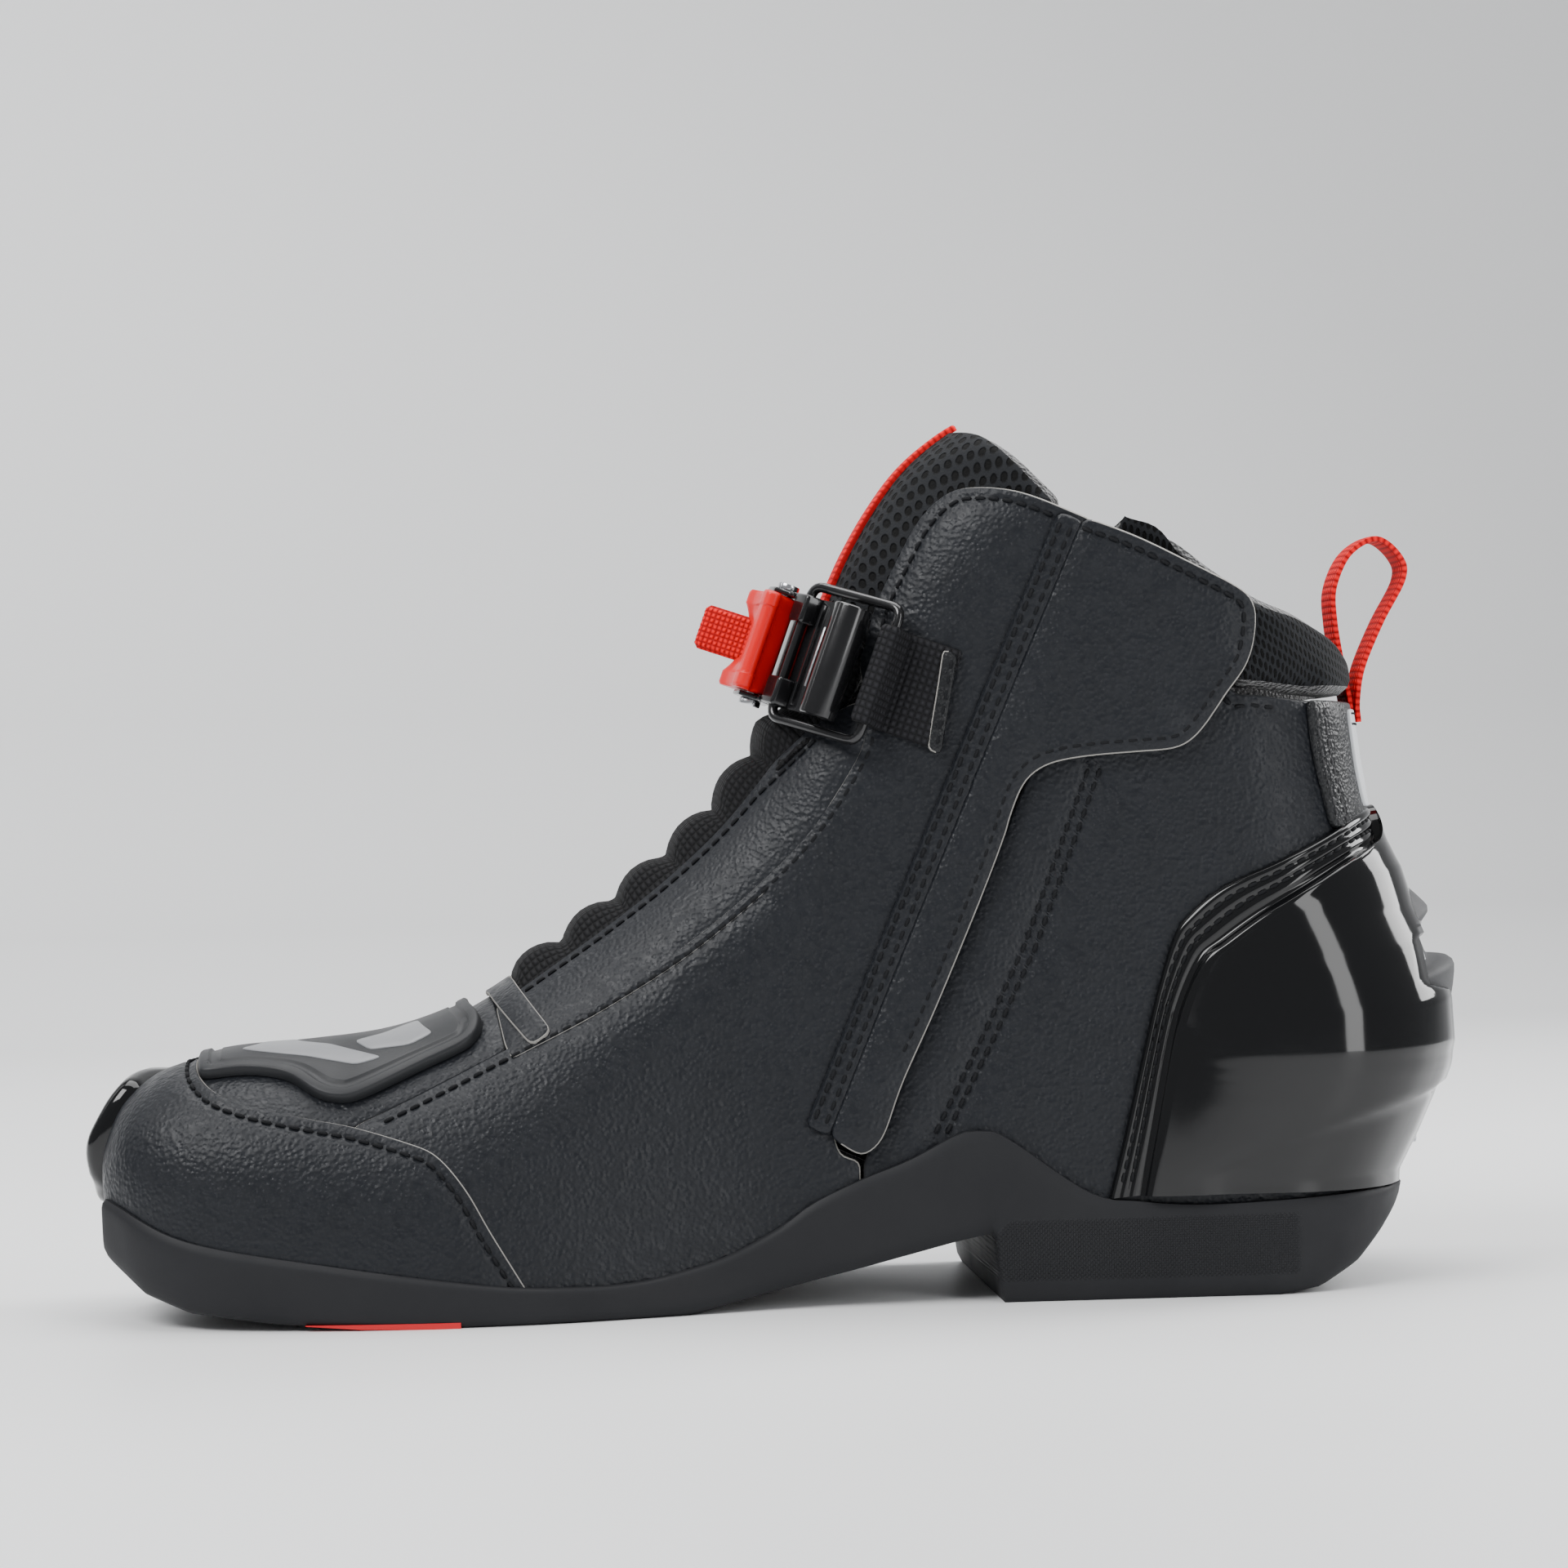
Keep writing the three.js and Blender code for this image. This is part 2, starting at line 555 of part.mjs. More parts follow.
function makePanels() {
  const seamFront = beside(toeSeam, halfGap);
  const seamRear = beside(toeSeam, -halfGap);
  const leather = layer(0, leatherInner, overBoard);
  const panel = (name, shape) => piece(name, "leather", leather.intersect(shape));

  const meeting = 2 * toeEnd;
  panel("toe_cap", prism([...seamFront, at(-260, -8), at(-260, 68)]));
  const vampSide = line([[-172.9, 43], [-160.5, 48.3], [-149.8, 53.2], [-139.4, 58.2]]);
  const throatEdge = [throat, at(-148, 90), at(-203, 90)];
  panel("vamp", prism([...seamRear.slice(0, meeting), ...beside(vampSide, -halfGap), ...throatEdge]));

  const facingBottom = beside(facingLine, -halfGap);
  const facingTop = beside(facingEdge, halfGap);
  const facing = [...facingBottom, at(-58.8, 133.5), ...facingTop.slice().reverse()];
  panel("facing_medial", medial(facing));
  panel("facing_lateral", lateral(facing));

  const quarterTop = [...beside(vampSide, halfGap), ...beside(facingLine, halfGap), frontStart];
  const seamDown = seamRear.slice(meeting + 1);
  const forefoot = [...quarterTop, ...beside(frontTop, halfGap)];
  const seamUp = seamDown.slice().reverse();
  const flapSide = beside([...flapStart, zipSeamFoot], halfGap);
  const heelCorners = [at(90, 131), at(90, -8)];
  const zipSide = [zipSeamFoot, ...rearStart.slice().reverse()];
  panel("quarter_medial_front", medial([...forefoot, ...flapSide, ...seamUp]));
  panel("quarter_medial_rear", medial([...rearTop, ...heelCorners, ...zipSide]));
  const splitFront = beside(lateralSplit, halfGap);
  const splitRear = beside(lateralSplit, -halfGap);
  panel("quarter_lateral_front", lateral([...forefoot, ...splitFront, ...seamUp]));
  const splitUp = splitRear.slice().reverse();
  panel("quarter_lateral_rear", lateral([...splitUp, ...rearTop, ...heelCorners]));

  const stretchEdge = beside(facingEdge, -halfGap);
  const stretch = prism([
    ...stretchEdge, at(-66, 131), at(-61.4, 137.5), at(-60.4, 146), at(-63, 149.5), at(-90, 152),
    at(-141, 92),
  ]);
  piece("stretch_panel", "elastic", layer(stretchRise, leatherInner, stretch));

  const tongueSide = beside(frontTop, -clearance);
  const tongue = prism([
    at(-90, 153), at(-63, 150), at(-58.6, 147), ...tongueSide, at(-7, 178), at(-17.3, 187.9),
    at(-25.6, 195.6), at(-32, bootHeight / kz), at(-60, 205), at(-90, 190),
  ]);
  piece("tongue", "mesh", layer(0, liningInner, tongue));

  const collarTop = line(COLLAR_TOP);
  const rearEdge = beside(rearTop, -clearance);
  const medialCollar = prism(
    [...rearEdge, ...collarTop.slice(1).reverse(), zipBeside(zipSpan + 2, zipSlotHalf)], -wide, 0,
  );
  const lateralCollar = prism([...rearEdge, ...collarTop.slice().reverse()], 0, wide);
  piece("collar_pad", "mesh", layer(0, liningInner, union([medialCollar, lateralCollar])));
}

function makeInnerLayers() {
  const zipCut = medial(zipBand(-zipSlotHalf, zipSlotHalf, -3, zipSpan + 12));
  const below = line([
    [-240, -8], [-240, 90], [-150, 100], [-100, 150], [-70, 152], [-62, 149], [-57, 144.5],
    [-54.2, 154], [-49.4, 163.9], [-43.8, 173.6], [-38.3, 178.8], [-33.2, 180.5], [-22.5, 179.1],
    [-9, 173.6], [4, 167.4], [13, 153.6], [22.4, 134.4], [27.4, 132.9], [40.3, 131.4], [90, 131],
    [90, -8],
  ]);
  const sock = layer(liningOuter, liningInner, overLiningBase).intersect(prism(below));
  piece("lining_medial", "lining", cut(sock.intersect(prism(below, -wide, -halfGap)), zipCut));
  piece("lining_lateral", "lining", sock.intersect(prism(below, halfGap, wide)));

  const stiff = layer(stiffenerOuter, stiffenerInner, overLiningBase);
  const puff = line([[-260, -8], [-260, 70], [-194, 70], [-178, 40], [-172, -8]]);
  piece("toe_puff", "board", stiff.intersect(prism(puff)));
  const counter = line([[90, -8], [90, 72], [30, 60], [-2, 40], [-10, -8]]);
  piece("heel_stiffener", "board", stiff.intersect(prism(counter)));
  const ankle = Array.from({ length: 20 }, (_, i) => {
    const turn = (2 * Math.PI * i) / 20;
    return at(9 + 20 * Math.cos(turn), 92 + 20 * Math.sin(turn));
  });
  piece("ankle_pad_medial", "lining", stiff.intersect(medial(ankle)));
  piece("ankle_pad_lateral", "lining", stiff.intersect(lateral(ankle)));
}

// ---------------------------------------------------------------- heel cup, fins and backstay
function heelForm(extra) {
  const backs = line(CUP_BACK);
  const frontX = 24 * kx;
  const steps = 20;
  const rings = backs.map(([x, z]) => {
    const halfWidth = (34 + 3.2 * smooth((z / kz - 18) / 20) - 6 * smooth((z / kz - 70) / 34)) * ky;
    return Array.from({ length: steps }, (_, i) => {
      const turn = (2 * Math.PI * i) / steps;
      const flat = (v) => Math.sign(v) * Math.abs(v) ** 0.85;
      return [
        frontX + (x + extra - frontX) * flat(Math.cos(turn)),
        (halfWidth + extra) * flat(Math.sin(turn)),
        z,
      ];
    });
  });
  return loft(rings);
}

const finRise = 3;
const cupInner = clearance;
const cupOuter = cupInner + cupFlangeThickness;
const cupWall = 2.2;

function makeHeel() {
  const region = prism([...line(CUP_EDGE), at(90, 109.5), at(90, 22.4)]);
  const bulgeRegion = prism([...line(CUP_BULGE_EDGE), at(90, 23)]);
  const flange = inside(cupOuter).intersect(region);
  const bulge = heelForm(0).intersect(bulgeRegion);
  const soleTop = inside(randThickness + clearance).intersect(
    prism(below(line(MEDIAL_SOLE_LINE), clearance), -wide, 0).add(
      prism(below(line(LATERAL_SOLE_LINE), clearance), 0, wide),
    ),
  );
  const finRoom = prism(line(FIN_ROOM)).intersect(
    heelForm(finRise + 3).subtract(heelForm(-cupWall - clearance)),
  );
  const shell = cut(flange.add(bulge), inside(cupInner), soleTop, finRoom);
  piece("heel_cup", "gloss", cut(shell, rod([60, 0, 31 * kz], [90, 0, 31 * kz], 2.2)));

  const fins = prism(line(FIN_EDGE)).intersect(heelForm(finRise));
  const finBody = cut(fins, heelForm(-cupWall), inside(cupInner));
  const valley = prism(line([[56, 68.4], [84, 68.4], [84, 75.6], [56, 75.6]]));
  const groove = valley.intersect(heelForm(10).subtract(heelForm(-reflectorThickness - clearance)));
  piece("heel_fins", "matte", cut(finBody, groove));
  const strip = prism(line([[60, 68.8], [84, 68.8], [84, 75.2], [60, 75.2]]));
  piece(
    "heel_reflector",
    "reflective",
    strip.intersect(heelForm(0).subtract(heelForm(-reflectorThickness))),
  );
  piece("heel_screw", "steel", rod([65.5 * kx, 0, 31 * kz], [71.5 * kx, 0, 31 * kz], 1.9));

  const stayInner = clearance;
  const stayOuter = stayInner + backstayThickness;
  const stay = line([
    [40.3, 131.2], [41.5, 120.3], [44, 111.5], [46, 105.4], [90, 110.6], [90, 131.2],
  ]);
  const cupRoom = inside(cupOuter + clearance).intersect(
    prism(below(beside(line(CUP_EDGE), -clearance))),
  );
  piece("backstay", "leather", cut(layer(stayOuter, stayInner, prism(stay)), cupRoom));
  const tapeRegion = prism(line([[40, 112], [90, 112], [90, 128.6], [40, 128.6]]), -6.5, 6.5);
  const tapeInner = stayOuter + clearance;
  const backHalf = prism(line([[46, 100], [90, 100], [90, 140], [46, 140]]));
  const tape = layer(tapeInner + reflectorThickness, tapeInner, tapeRegion.intersect(backHalf));
  piece("back_reflector", "reflective", tape);
}

const LOOP_LINE = [
  [58.2, 131.8], [55.6, 141.5], [54.3, 150.7], [54.4, 158.3], [58.2, 166], [64.7, 169.3],
  [70, 165], [70.6, 159.9], [65.2, 150], [59.8, 139.6], [58.2, 131.8],
];

function makeLoop() {
  const steps = 2;
  const middle = curve(LOOP_LINE, steps);
  const half = pullLoopWidth / 2;
  const turn = steps * 5; // the loop's far end
  const overlap = 1;
  const run = (part) =>
    prism(
      [...beside(part, -pullLoopThickness / 2), ...beside(part, pullLoopThickness / 2).reverse()],
      -half,
      half,
    );
  const ringSolid = run(middle.slice(0, turn + 1)).add(run(middle.slice(turn - overlap)));
  const foot = prism(line([[56, 130], [59.6, 130], [60.2, 137], [57, 139]]), -half, half);
  const boundary = inside(clearance + backstayThickness + clearance);
  const backHalf = prism(line([[40, 100], [90, 100], [90, 146], [40, 146]]));
  piece("pull_loop", "red", cut(ringSolid.add(foot), boundary.intersect(backHalf)));
}

// ---------------------------------------------------------------- toe slider and shift pad
function makeToe() {
  const sliderRegion = prism(
    line([
      [-250, 22.5], [-250, 47], [-230, 50.5], [-218.7, 52.3], [-200, 49], [-182, 40], [-176, 28],
      [-180, 17.5], [-208.4, 22.5], [-223.4, 29.4], [-236, 33],
    ]),
    3,
    wide,
  );
  const screws = [[-206, 36], [-189, 30]].map((place) => {
    const [x, z] = at(...place);
    return { x, z, y: skinAt([x, z], 1, clearance + toeSliderThickness) };
  });
  const block = layer(clearance + toeSliderThickness, clearance, sliderRegion);
  const holes = screws.map(({ x, y, z }) => rod([x, y - 12, z], [x, y + 12, z], screwHoleRadius));
  piece("toe_slider", "gloss", cut(block, ...holes));
  screws.forEach(({ x, y, z }, i) => {
    const tip = y - toeSliderThickness + 0.8;
    piece(`toe_slider_screw_${i + 1}`, "steel", rod([x, tip, z], [x, y - 1.2, z], screwRadius));
  });

  const medialPad = line([
    [-206.5, 53], [-196.6, 53.9], [-187.5, 52.7], [-181.1, 49.2], [-176.7, 48], [-171.3, 48.5],
    [-157, 54.4], [-147, 58.8], [-144.3, 62.1], [-144.2, 64.5], [-147, 68], [-150, 90], [-206, 90],
  ]);
  const lateralPad = line([
    [-206.5, 53.5], [-190, 54.5], [-170, 54], [-157, 57.4], [-147, 62], [-147, 68], [-150, 90],
    [-206, 90],
  ]);
  const region = union([prism(medialPad, -wide, 0), prism(lateralPad, 0, wide)]);
  const inner = line([
    [-200, 56.5], [-187, 55.5], [-178, 51.5], [-172, 52.3], [-160, 57], [-152, 61], [-152, 90],
    [-200, 90],
  ]);
  const insertTop = clearance + padThickness - 0.4;
  const insertBottom = insertTop - reflectorThickness;
  const insertRoom = prism(beside(inner, clearance), -wide, 12);
  const room = layer(clearance + padThickness + 1, insertBottom - clearance, insertRoom);
  piece("shift_pad", "matte", cut(layer(clearance + padThickness, clearance, region), room));
  const insert = prism(inner, -wide, 11.5);
  piece("shift_pad_insert", "reflective", layer(insertTop, insertBottom, insert));
}

// ---------------------------------------------------------------- flap and zip
const flapStripWidth = 5;
const flapHingeGap = 1.0;
const hookInner = 1.0;
const hookOuter = 1.3;
const loopPatchInner = 0.3;
const loopPatchOuter = 0.7;

function makeFlap() {
  const hinge = [hingeLow, hingeHigh];
  const strip = [...beside(hinge, -flapStripWidth), ...hinge.slice().reverse()];
  piece("flap_strip", "leather", layer(flapOuter, clearance, medial(strip)));
  const start = beside(hinge, flapHingeGap);
  const flap = [...start.slice().reverse(), ...curve(FLAP_EDGE, 2)];
  piece("closure_flap", "leather", layer(flapOuter, flapInner, medial(flap)));
  const patch = line([[2, 156], [8, 140], [4, 126], [12, 127], [20, 138], [22, 148], [18, 154]]);
  piece("hook_patch", "webbing", layer(hookOuter, hookInner, medial(patch)));
  piece("loop_patch", "webbing", layer(loopPatchOuter, loopPatchInner, medial(patch)));
}

function rod(from, to, radius, sides = 12) {
  const a = new THREE.Vector3(...from);
  const b = new THREE.Vector3(...to);
  const geometry = new THREE.CylinderGeometry(radius, radius, a.distanceTo(b), sides);
  const turn = new THREE.Quaternion().setFromUnitVectors(
    new THREE.Vector3(0, 1, 0),
    b.clone().sub(a).normalize(),
  );
  geometry.applyQuaternion(turn);
  geometry.translate(...a.add(b).multiplyScalar(0.5).toArray());
  return toSolid(geometry);
}

function block(x0, x1, y0, y1, z0, z1) {
  const geometry = new THREE.BoxGeometry(x1 - x0, y1 - y0, z1 - z0);
  geometry.translate((x0 + x1) / 2, (y0 + y1) / 2, (z0 + z1) / 2);
  return toSolid(geometry);
}

const zipCentre = -4.2;
const zipBarOuterEdge = 4.6;
const zipTapeEdge = zipBarOuterEdge + 2 * clearance;
const zipBarHalf = 0.8;
const sliderPlate = 1.0;
const sliderTopMargin = 14;

function makeZip() {
  placeZip();
  const tapeOuter = leatherInner - clearance;
  const tape = layer(tapeOuter, tapeOuter - zipTapeThickness, overLiningBase);
  piece("zip_tape_front", "webbing", tape.intersect(medial(zipBand(-11, -zipTapeEdge, 3, zipSpan - 6))));
  piece("zip_tape_rear", "webbing", tape.intersect(medial(zipBand(zipTapeEdge, 11, 3, zipSpan - 6))));

  boot.add(zipFrame);
  const bar = (side) => {
    const inner = (side * zipChainGap) / 2;
    const outer = side * zipBarOuterEdge;
    const [x0, x1] = side < 0 ? [outer, inner] : [inner, outer];
    return block(x0, x1, 4, zipSpan - 6, zipCentre - zipBarHalf, zipCentre + zipBarHalf);
  };
  piece("zip_teeth_front", "blackMetal", bar(-1), zipFrame);
  piece("zip_teeth_rear", "blackMetal", bar(1), zipFrame);
  const high = zipSpan - sliderTopMargin;
  const lowEdge = high - zipSliderLength;
  const half = zipSliderWidth / 2;
  const plateGap = zipBarHalf + clearance;
  const post = zipChainGap / 2 - clearance;
  const slider = union([
    block(-half, half, lowEdge, high, zipCentre + plateGap, zipCentre + plateGap + sliderPlate),
    block(-half, half, lowEdge, high, zipCentre - plateGap - sliderPlate, zipCentre - plateGap),
    block(-post, post, lowEdge + 4, high, zipCentre - plateGap - 0.1, zipCentre + plateGap + 0.1),
  ]);
  piece("zip_slider", "blackMetal", slider, zipFrame);
  const pullerLow = zipCentre + plateGap + sliderPlate + 0.2;
  const puller = block(-2.5, 2.5, lowEdge - 16, high - 3, pullerLow, pullerLow + 0.7);
  piece("zip_puller", "blackMetal", puller, zipFrame);
}

// ---------------------------------------------------------------- strap and buckle over the instep
// The strap's own frame: x points out of the boot's front, y to the medial side, z up along the shaft.
const strapGroup = new THREE.Group();
const strapTilt = THREE.MathUtils.degToRad(20.3);
const strapSurface = 35; // the wrap's radius at the leather
const strapMiddle = at(-68, 144);
const strapUp = new THREE.Vector3(Math.sin(strapTilt), 0, Math.cos(strapTilt));
const strapOut = new THREE.Vector3(-Math.cos(strapTilt), 0, Math.sin(strapTilt));
strapGroup.setRotationFromMatrix(
  new THREE.Matrix4().makeBasis(strapOut, new THREE.Vector3(0, -1, 0), strapUp),
);
strapGroup.position.set(
  strapMiddle[0] - strapOut.x * strapSurface,
  0,
  strapMiddle[1] - strapOut.z * strapSurface,
);
strapGroup.updateMatrix();

const polar = (degrees, radius) => {
  const turn = THREE.MathUtils.degToRad(degrees);
  return [radius * Math.cos(turn), radius * Math.sin(turn)];
};
const arc = (from, to, radius, steps = 10) =>
  Array.from({ length: steps + 1 }, (_, i) => polar(lerp(from, to, i / steps), radius));

// An outline in the strap's cross-section, as long as a stretch of its width.
function profile(points, from, to) {
  const shape = new THREE.Shape(points.map(([x, y]) => new THREE.Vector2(x, y)));
  const geometry = new THREE.ExtrudeGeometry(shape, { depth: to - from, bevelEnabled: false });
  geometry.translate(0, 0, from);
  return toSolid(geometry);
}
const sector = (from, to, inner, outer, low, high, steps) =>
  profile([...arc(from, to, inner, steps), ...arc(from, to, outer, steps).reverse()], low, high);
const pinAt = ([x, y], radius, half, sides = 12) => rod([x, y, -half], [x, y, half], radius, sides);

const ladderInner = strapSurface + stretchRise + ladderRoom;
const ladderOuter = ladderInner + ladderThickness;
const toothPitchDegrees = 4;
const toothDepth = 0.8;
const plateInner = ladderOuter + clearance;
const plateThickness = 1.2;
const plateOuter = plateInner + plateThickness;
const linkRearAngle = 59;
const linkRear = polar(linkRearAngle, 41);
const linkFront = polar(22, plateOuter + wireRadius + clearance);
const linkHalf = buckleLength / 2 + clearance + wireRadius + buckleEarThickness;
const barrelAngle = 44;
const barrelPlace = polar(barrelAngle, plateOuter + 1.4);
const leverPin = polar(9, plateOuter + 3.6);
const leverHalf = buckleLength / 2 - buckleEarThickness - clearance;

function makeStrap() {
  boot.add(strapGroup);
  const webHalf = strapWidth / 2;
  const webInner = clearance;
  const webOuter = webInner + webbingThickness;
  const webOutline = line([[-54.5, 150.2], [-39.5, 144.3], [-44, 123.6], [-57.6, 128.2]]);
  const web = layer(webOuter, webInner, medial(webOutline));
  const eye = wireRadius + clearance;
  const inBoot = (radius, length) =>
    pinAt(linkRear, radius, length, 14).transform(strapGroup.matrix.elements);
  const fold = inBoot(eye + webbingThickness, webHalf);
  const bore = inBoot(eye, webHalf + 5);
  piece("strap_webbing", "webbing", cut(web.add(cut(fold, inside(clearance))), bore));
  const coverInner = webOuter + clearance;
  const coverOutline = line([[-47, 147.6], [-37.2, 143.8], [-41.2, 121.2], [-50.5, 124.4]]);
  const cover = layer(coverInner + slotCoverThickness, coverInner, medial(coverOutline));
  piece("strap_slot_cover", "leather", cover);

  const corner = (place, z) => [place[0], place[1], z];
  const bars = [
    [corner(linkRear, -linkHalf), corner(linkRear, linkHalf)],
    [corner(linkRear, linkHalf), corner(linkFront, linkHalf)],
    [corner(linkFront, linkHalf), corner(linkFront, -linkHalf)],
    [corner(linkFront, -linkHalf), corner(linkRear, -linkHalf)],
  ];
  const wire = bars.flatMap(([a, b]) => {
    const ball = new THREE.SphereGeometry(wireRadius * 1.02, 8, 4);
    ball.translate(...a);
    return [rod(a, b, wireRadius, 10), toSolid(ball)];
  });
  piece("wire_link", "blackMetal", union(wire), strapGroup);

  const half = buckleLength / 2;
  const innerHalf = half - buckleEarThickness;
  const plate = sector(-6, barrelAngle, plateInner, plateOuter, -half, half, 8);
  const barrelBore = pinAt(barrelPlace, barrelRadius - barrelWall, half + 1, 14);
  const barrel = pinAt(barrelPlace, barrelRadius, half, 16).subtract(barrelBore);
  const [roomStart, roomEnd] = [barrelAngle - 25, barrelAngle + 25];
  const barrelRoom = sector(roomStart, roomEnd, 20, ladderOuter + clearance, -wide, wide, 8);
  const saddleOuter = plateOuter + 2 * wireRadius + 2 * clearance + 1;
  const saddle = sector(17, 27, plateOuter - 0.2, saddleOuter, -half, half, 4);
  const ear = (low, high) => sector(-6, 17, plateOuter - 0.4, plateOuter + 7.2, low, high, 6);
  const base = union([
    plate, barrel.subtract(barrelRoom), saddle, ear(-half, -innerHalf), ear(innerHalf, half),
  ]);
  const wireBore = pinAt(linkFront, wireRadius + clearance, wide);
  const pinBore = pinAt(leverPin, leverPinRadius + pinClearance, wide);
  piece("buckle_base", "blackMetal", cut(base, wireBore, pinBore), strapGroup);
  const onPin = (z) => [...leverPin, z];
  const headEnd = half + 1.3;
  const pinHead = rod(onPin(half + clearance), onPin(headEnd), rivetHeadRadius, 12);
  const otherHead = rod(onPin(-headEnd), onPin(-half - clearance), rivetHeadRadius, 12);
  const shaft = pinAt(leverPin, leverPinRadius, half + 0.8);
  piece("lever_pin", "steel", union([shaft, pinHead, otherHead]), strapGroup);

  const rel = (dx, dy) => [leverPin[0] + dx, leverPin[1] + dy];
  const leverShape = [
    rel(-1.9, 2.4), rel(1.4, 3.8), rel(1.8, 7.4), rel(4.6, 7.6), rel(5.2, 4.5), rel(4.1, 1),
    rel(4.4, -4), rel(7.2, -9.5), rel(6.6, -12), rel(4.4, -12.2), rel(0.4, -8), rel(-2.0, -3.4),
    rel(-2.6, 0),
  ];
  const lever = profile(leverShape, -leverHalf, leverHalf);
  const [pinX, pinY] = leverPin;
  const springBore = pinAt(leverPin, springRoomRadius, springRoomHalf, 14);
  const springMouth = block(
    pinX - 8, pinX, pinY - springRoomRadius, pinY + springRoomRadius, -springRoomHalf, springRoomHalf,
  );
  const springRoom = springBore.add(springMouth);
  piece("buckle_lever", "red", cut(lever, pinBore, springRoom), strapGroup);
  const springHole = pinAt(leverPin, leverPinRadius + pinClearance, 4);
  const spring = pinAt(leverPin, springRadius, 3.2, 12).subtract(springHole);
  piece("lever_spring", "steel", spring, strapGroup);
  const tabRoot = rel(7.6, -10.4);
  const tab = [
    tabRoot, [tabRoot[0] + 5.5, tabRoot[1] - 5.2], [tabRoot[0] + 4.7, tabRoot[1] - 6.4],
    [tabRoot[0] - 0.2, tabRoot[1] - 2.4],
  ];
  piece("pull_tab", "red", profile(tab, -5.5, 5.5), strapGroup);

  const ladderStart = 36;
  const ladderEnd = -70;
  const teeth = [];
  const lastTooth = ladderEnd + 22;
  for (let angle = ladderStart - toothPitchDegrees; angle > lastTooth; angle -= toothPitchDegrees) {
    teeth.push([...polar(angle + toothPitchDegrees - 0.4, ladderOuter)]);
    teeth.push([...polar(angle, ladderOuter - toothDepth)]);
  }
  const ladderShape = [
    ...arc(ladderEnd, ladderStart, ladderInner, 14),
    polar(ladderStart, ladderOuter - toothDepth),
    ...teeth,
    ...arc(ladderEnd + 18, ladderEnd, ladderOuter - toothDepth, 3),
  ];
  const ladder = profile(ladderShape, -ladderWidth / 2, ladderWidth / 2);
  piece("ladder_strap", "matte", ladder, strapGroup);
  makeAnchor();
}

// The strap frame's place in the side view, a distance out of the front and a distance up the shaft.
const strapSide = (out, up) => [
  strapGroup.position.x + strapOut.x * out + strapUp.x * up,
  strapGroup.position.z + strapOut.z * out + strapUp.z * up,
];

function makeAnchor() {
  const half = ladderWidth / 2 + 1.5;
  const [front, rear] = [16.5, 1.5];
  const outline = [
    strapSide(front, -half), strapSide(front, half), strapSide(rear, half), strapSide(rear, -half),
  ];
  const anchorOuter = clearance + anchorRise;
  const [x, z] = strapSide((front + rear) / 2, 0);
  const y = skinAt([x, z], 1, anchorOuter);
  const screw = (inner, outer, radius) => rod([x, y + inner, z], [x, y + outer, z], radius);
  const plate = layer(anchorOuter, clearance, lateral(outline));
  piece("ladder_anchor", "blackMetal", cut(plate, screw(-8, 8, 2.4)));
  piece("anchor_screw", "steel", screw(-2.4, 0.6, 2.1));
}

makeSole();
makePanels();
makeInnerLayers();
makeHeel();
makeLoop();
makeToe();
makeFlap();
makeZip();
makeStrap();

export default boot;
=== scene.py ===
"""Looks of the riding boot: leather panels, stitching, padded mesh, sole, heel cup and buckle."""
import math

import bpy
import bmesh
import numpy as np
from mathutils import Matrix, Vector
from mathutils.geometry import delaunay_2d_cdt


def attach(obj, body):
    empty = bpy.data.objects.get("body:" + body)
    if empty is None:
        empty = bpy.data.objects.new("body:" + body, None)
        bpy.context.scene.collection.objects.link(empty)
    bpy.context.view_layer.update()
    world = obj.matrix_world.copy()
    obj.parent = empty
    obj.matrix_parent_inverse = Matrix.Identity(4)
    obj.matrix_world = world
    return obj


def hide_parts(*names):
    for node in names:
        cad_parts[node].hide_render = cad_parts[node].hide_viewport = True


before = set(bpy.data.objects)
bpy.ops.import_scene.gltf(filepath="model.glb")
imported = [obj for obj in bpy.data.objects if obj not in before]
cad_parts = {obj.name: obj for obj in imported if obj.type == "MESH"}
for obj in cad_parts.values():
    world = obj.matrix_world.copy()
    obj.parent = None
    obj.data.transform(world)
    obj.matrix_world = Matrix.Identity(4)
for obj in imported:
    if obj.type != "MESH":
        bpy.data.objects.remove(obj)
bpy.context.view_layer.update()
MM = 0.001

# ------------------------------------------------------------------ camera, lights and floor
CAMERA_PLACE = (-0.1475, -0.8909, 0.1157)
CAMERA_TURN = math.radians(-4.73)
CAMERA_ROLL = math.radians(-1.31)
LENS_MM = 89.4


def make_camera():
    data = bpy.data.cameras.new("camera")
    data.lens = LENS_MM
    data.sensor_width = 36
    camera = bpy.data.objects.new("camera", data)
    bpy.context.scene.collection.objects.link(camera)
    aim = Matrix.Rotation(CAMERA_TURN, 4, "Z") @ Matrix.Rotation(math.pi / 2, 4, "X")
    roll = Matrix.Rotation(CAMERA_ROLL, 4, "Z")
    camera.matrix_world = Matrix.Translation(CAMERA_PLACE) @ aim @ roll
    bpy.context.scene.camera = camera


def area_light(name, place, target, size, power, tint=(1, 1, 1)):
    data = bpy.data.lights.new(name, "AREA")
    data.shape = "RECTANGLE"
    data.size, data.size_y = size
    data.energy = power
    data.color = tint
    light = bpy.data.objects.new(name, data)
    bpy.context.scene.collection.objects.link(light)
    way = Vector(target) - Vector(place)
    light.matrix_world = Matrix.Translation(place) @ way.to_track_quat("-Z", "Y").to_matrix().to_4x4()


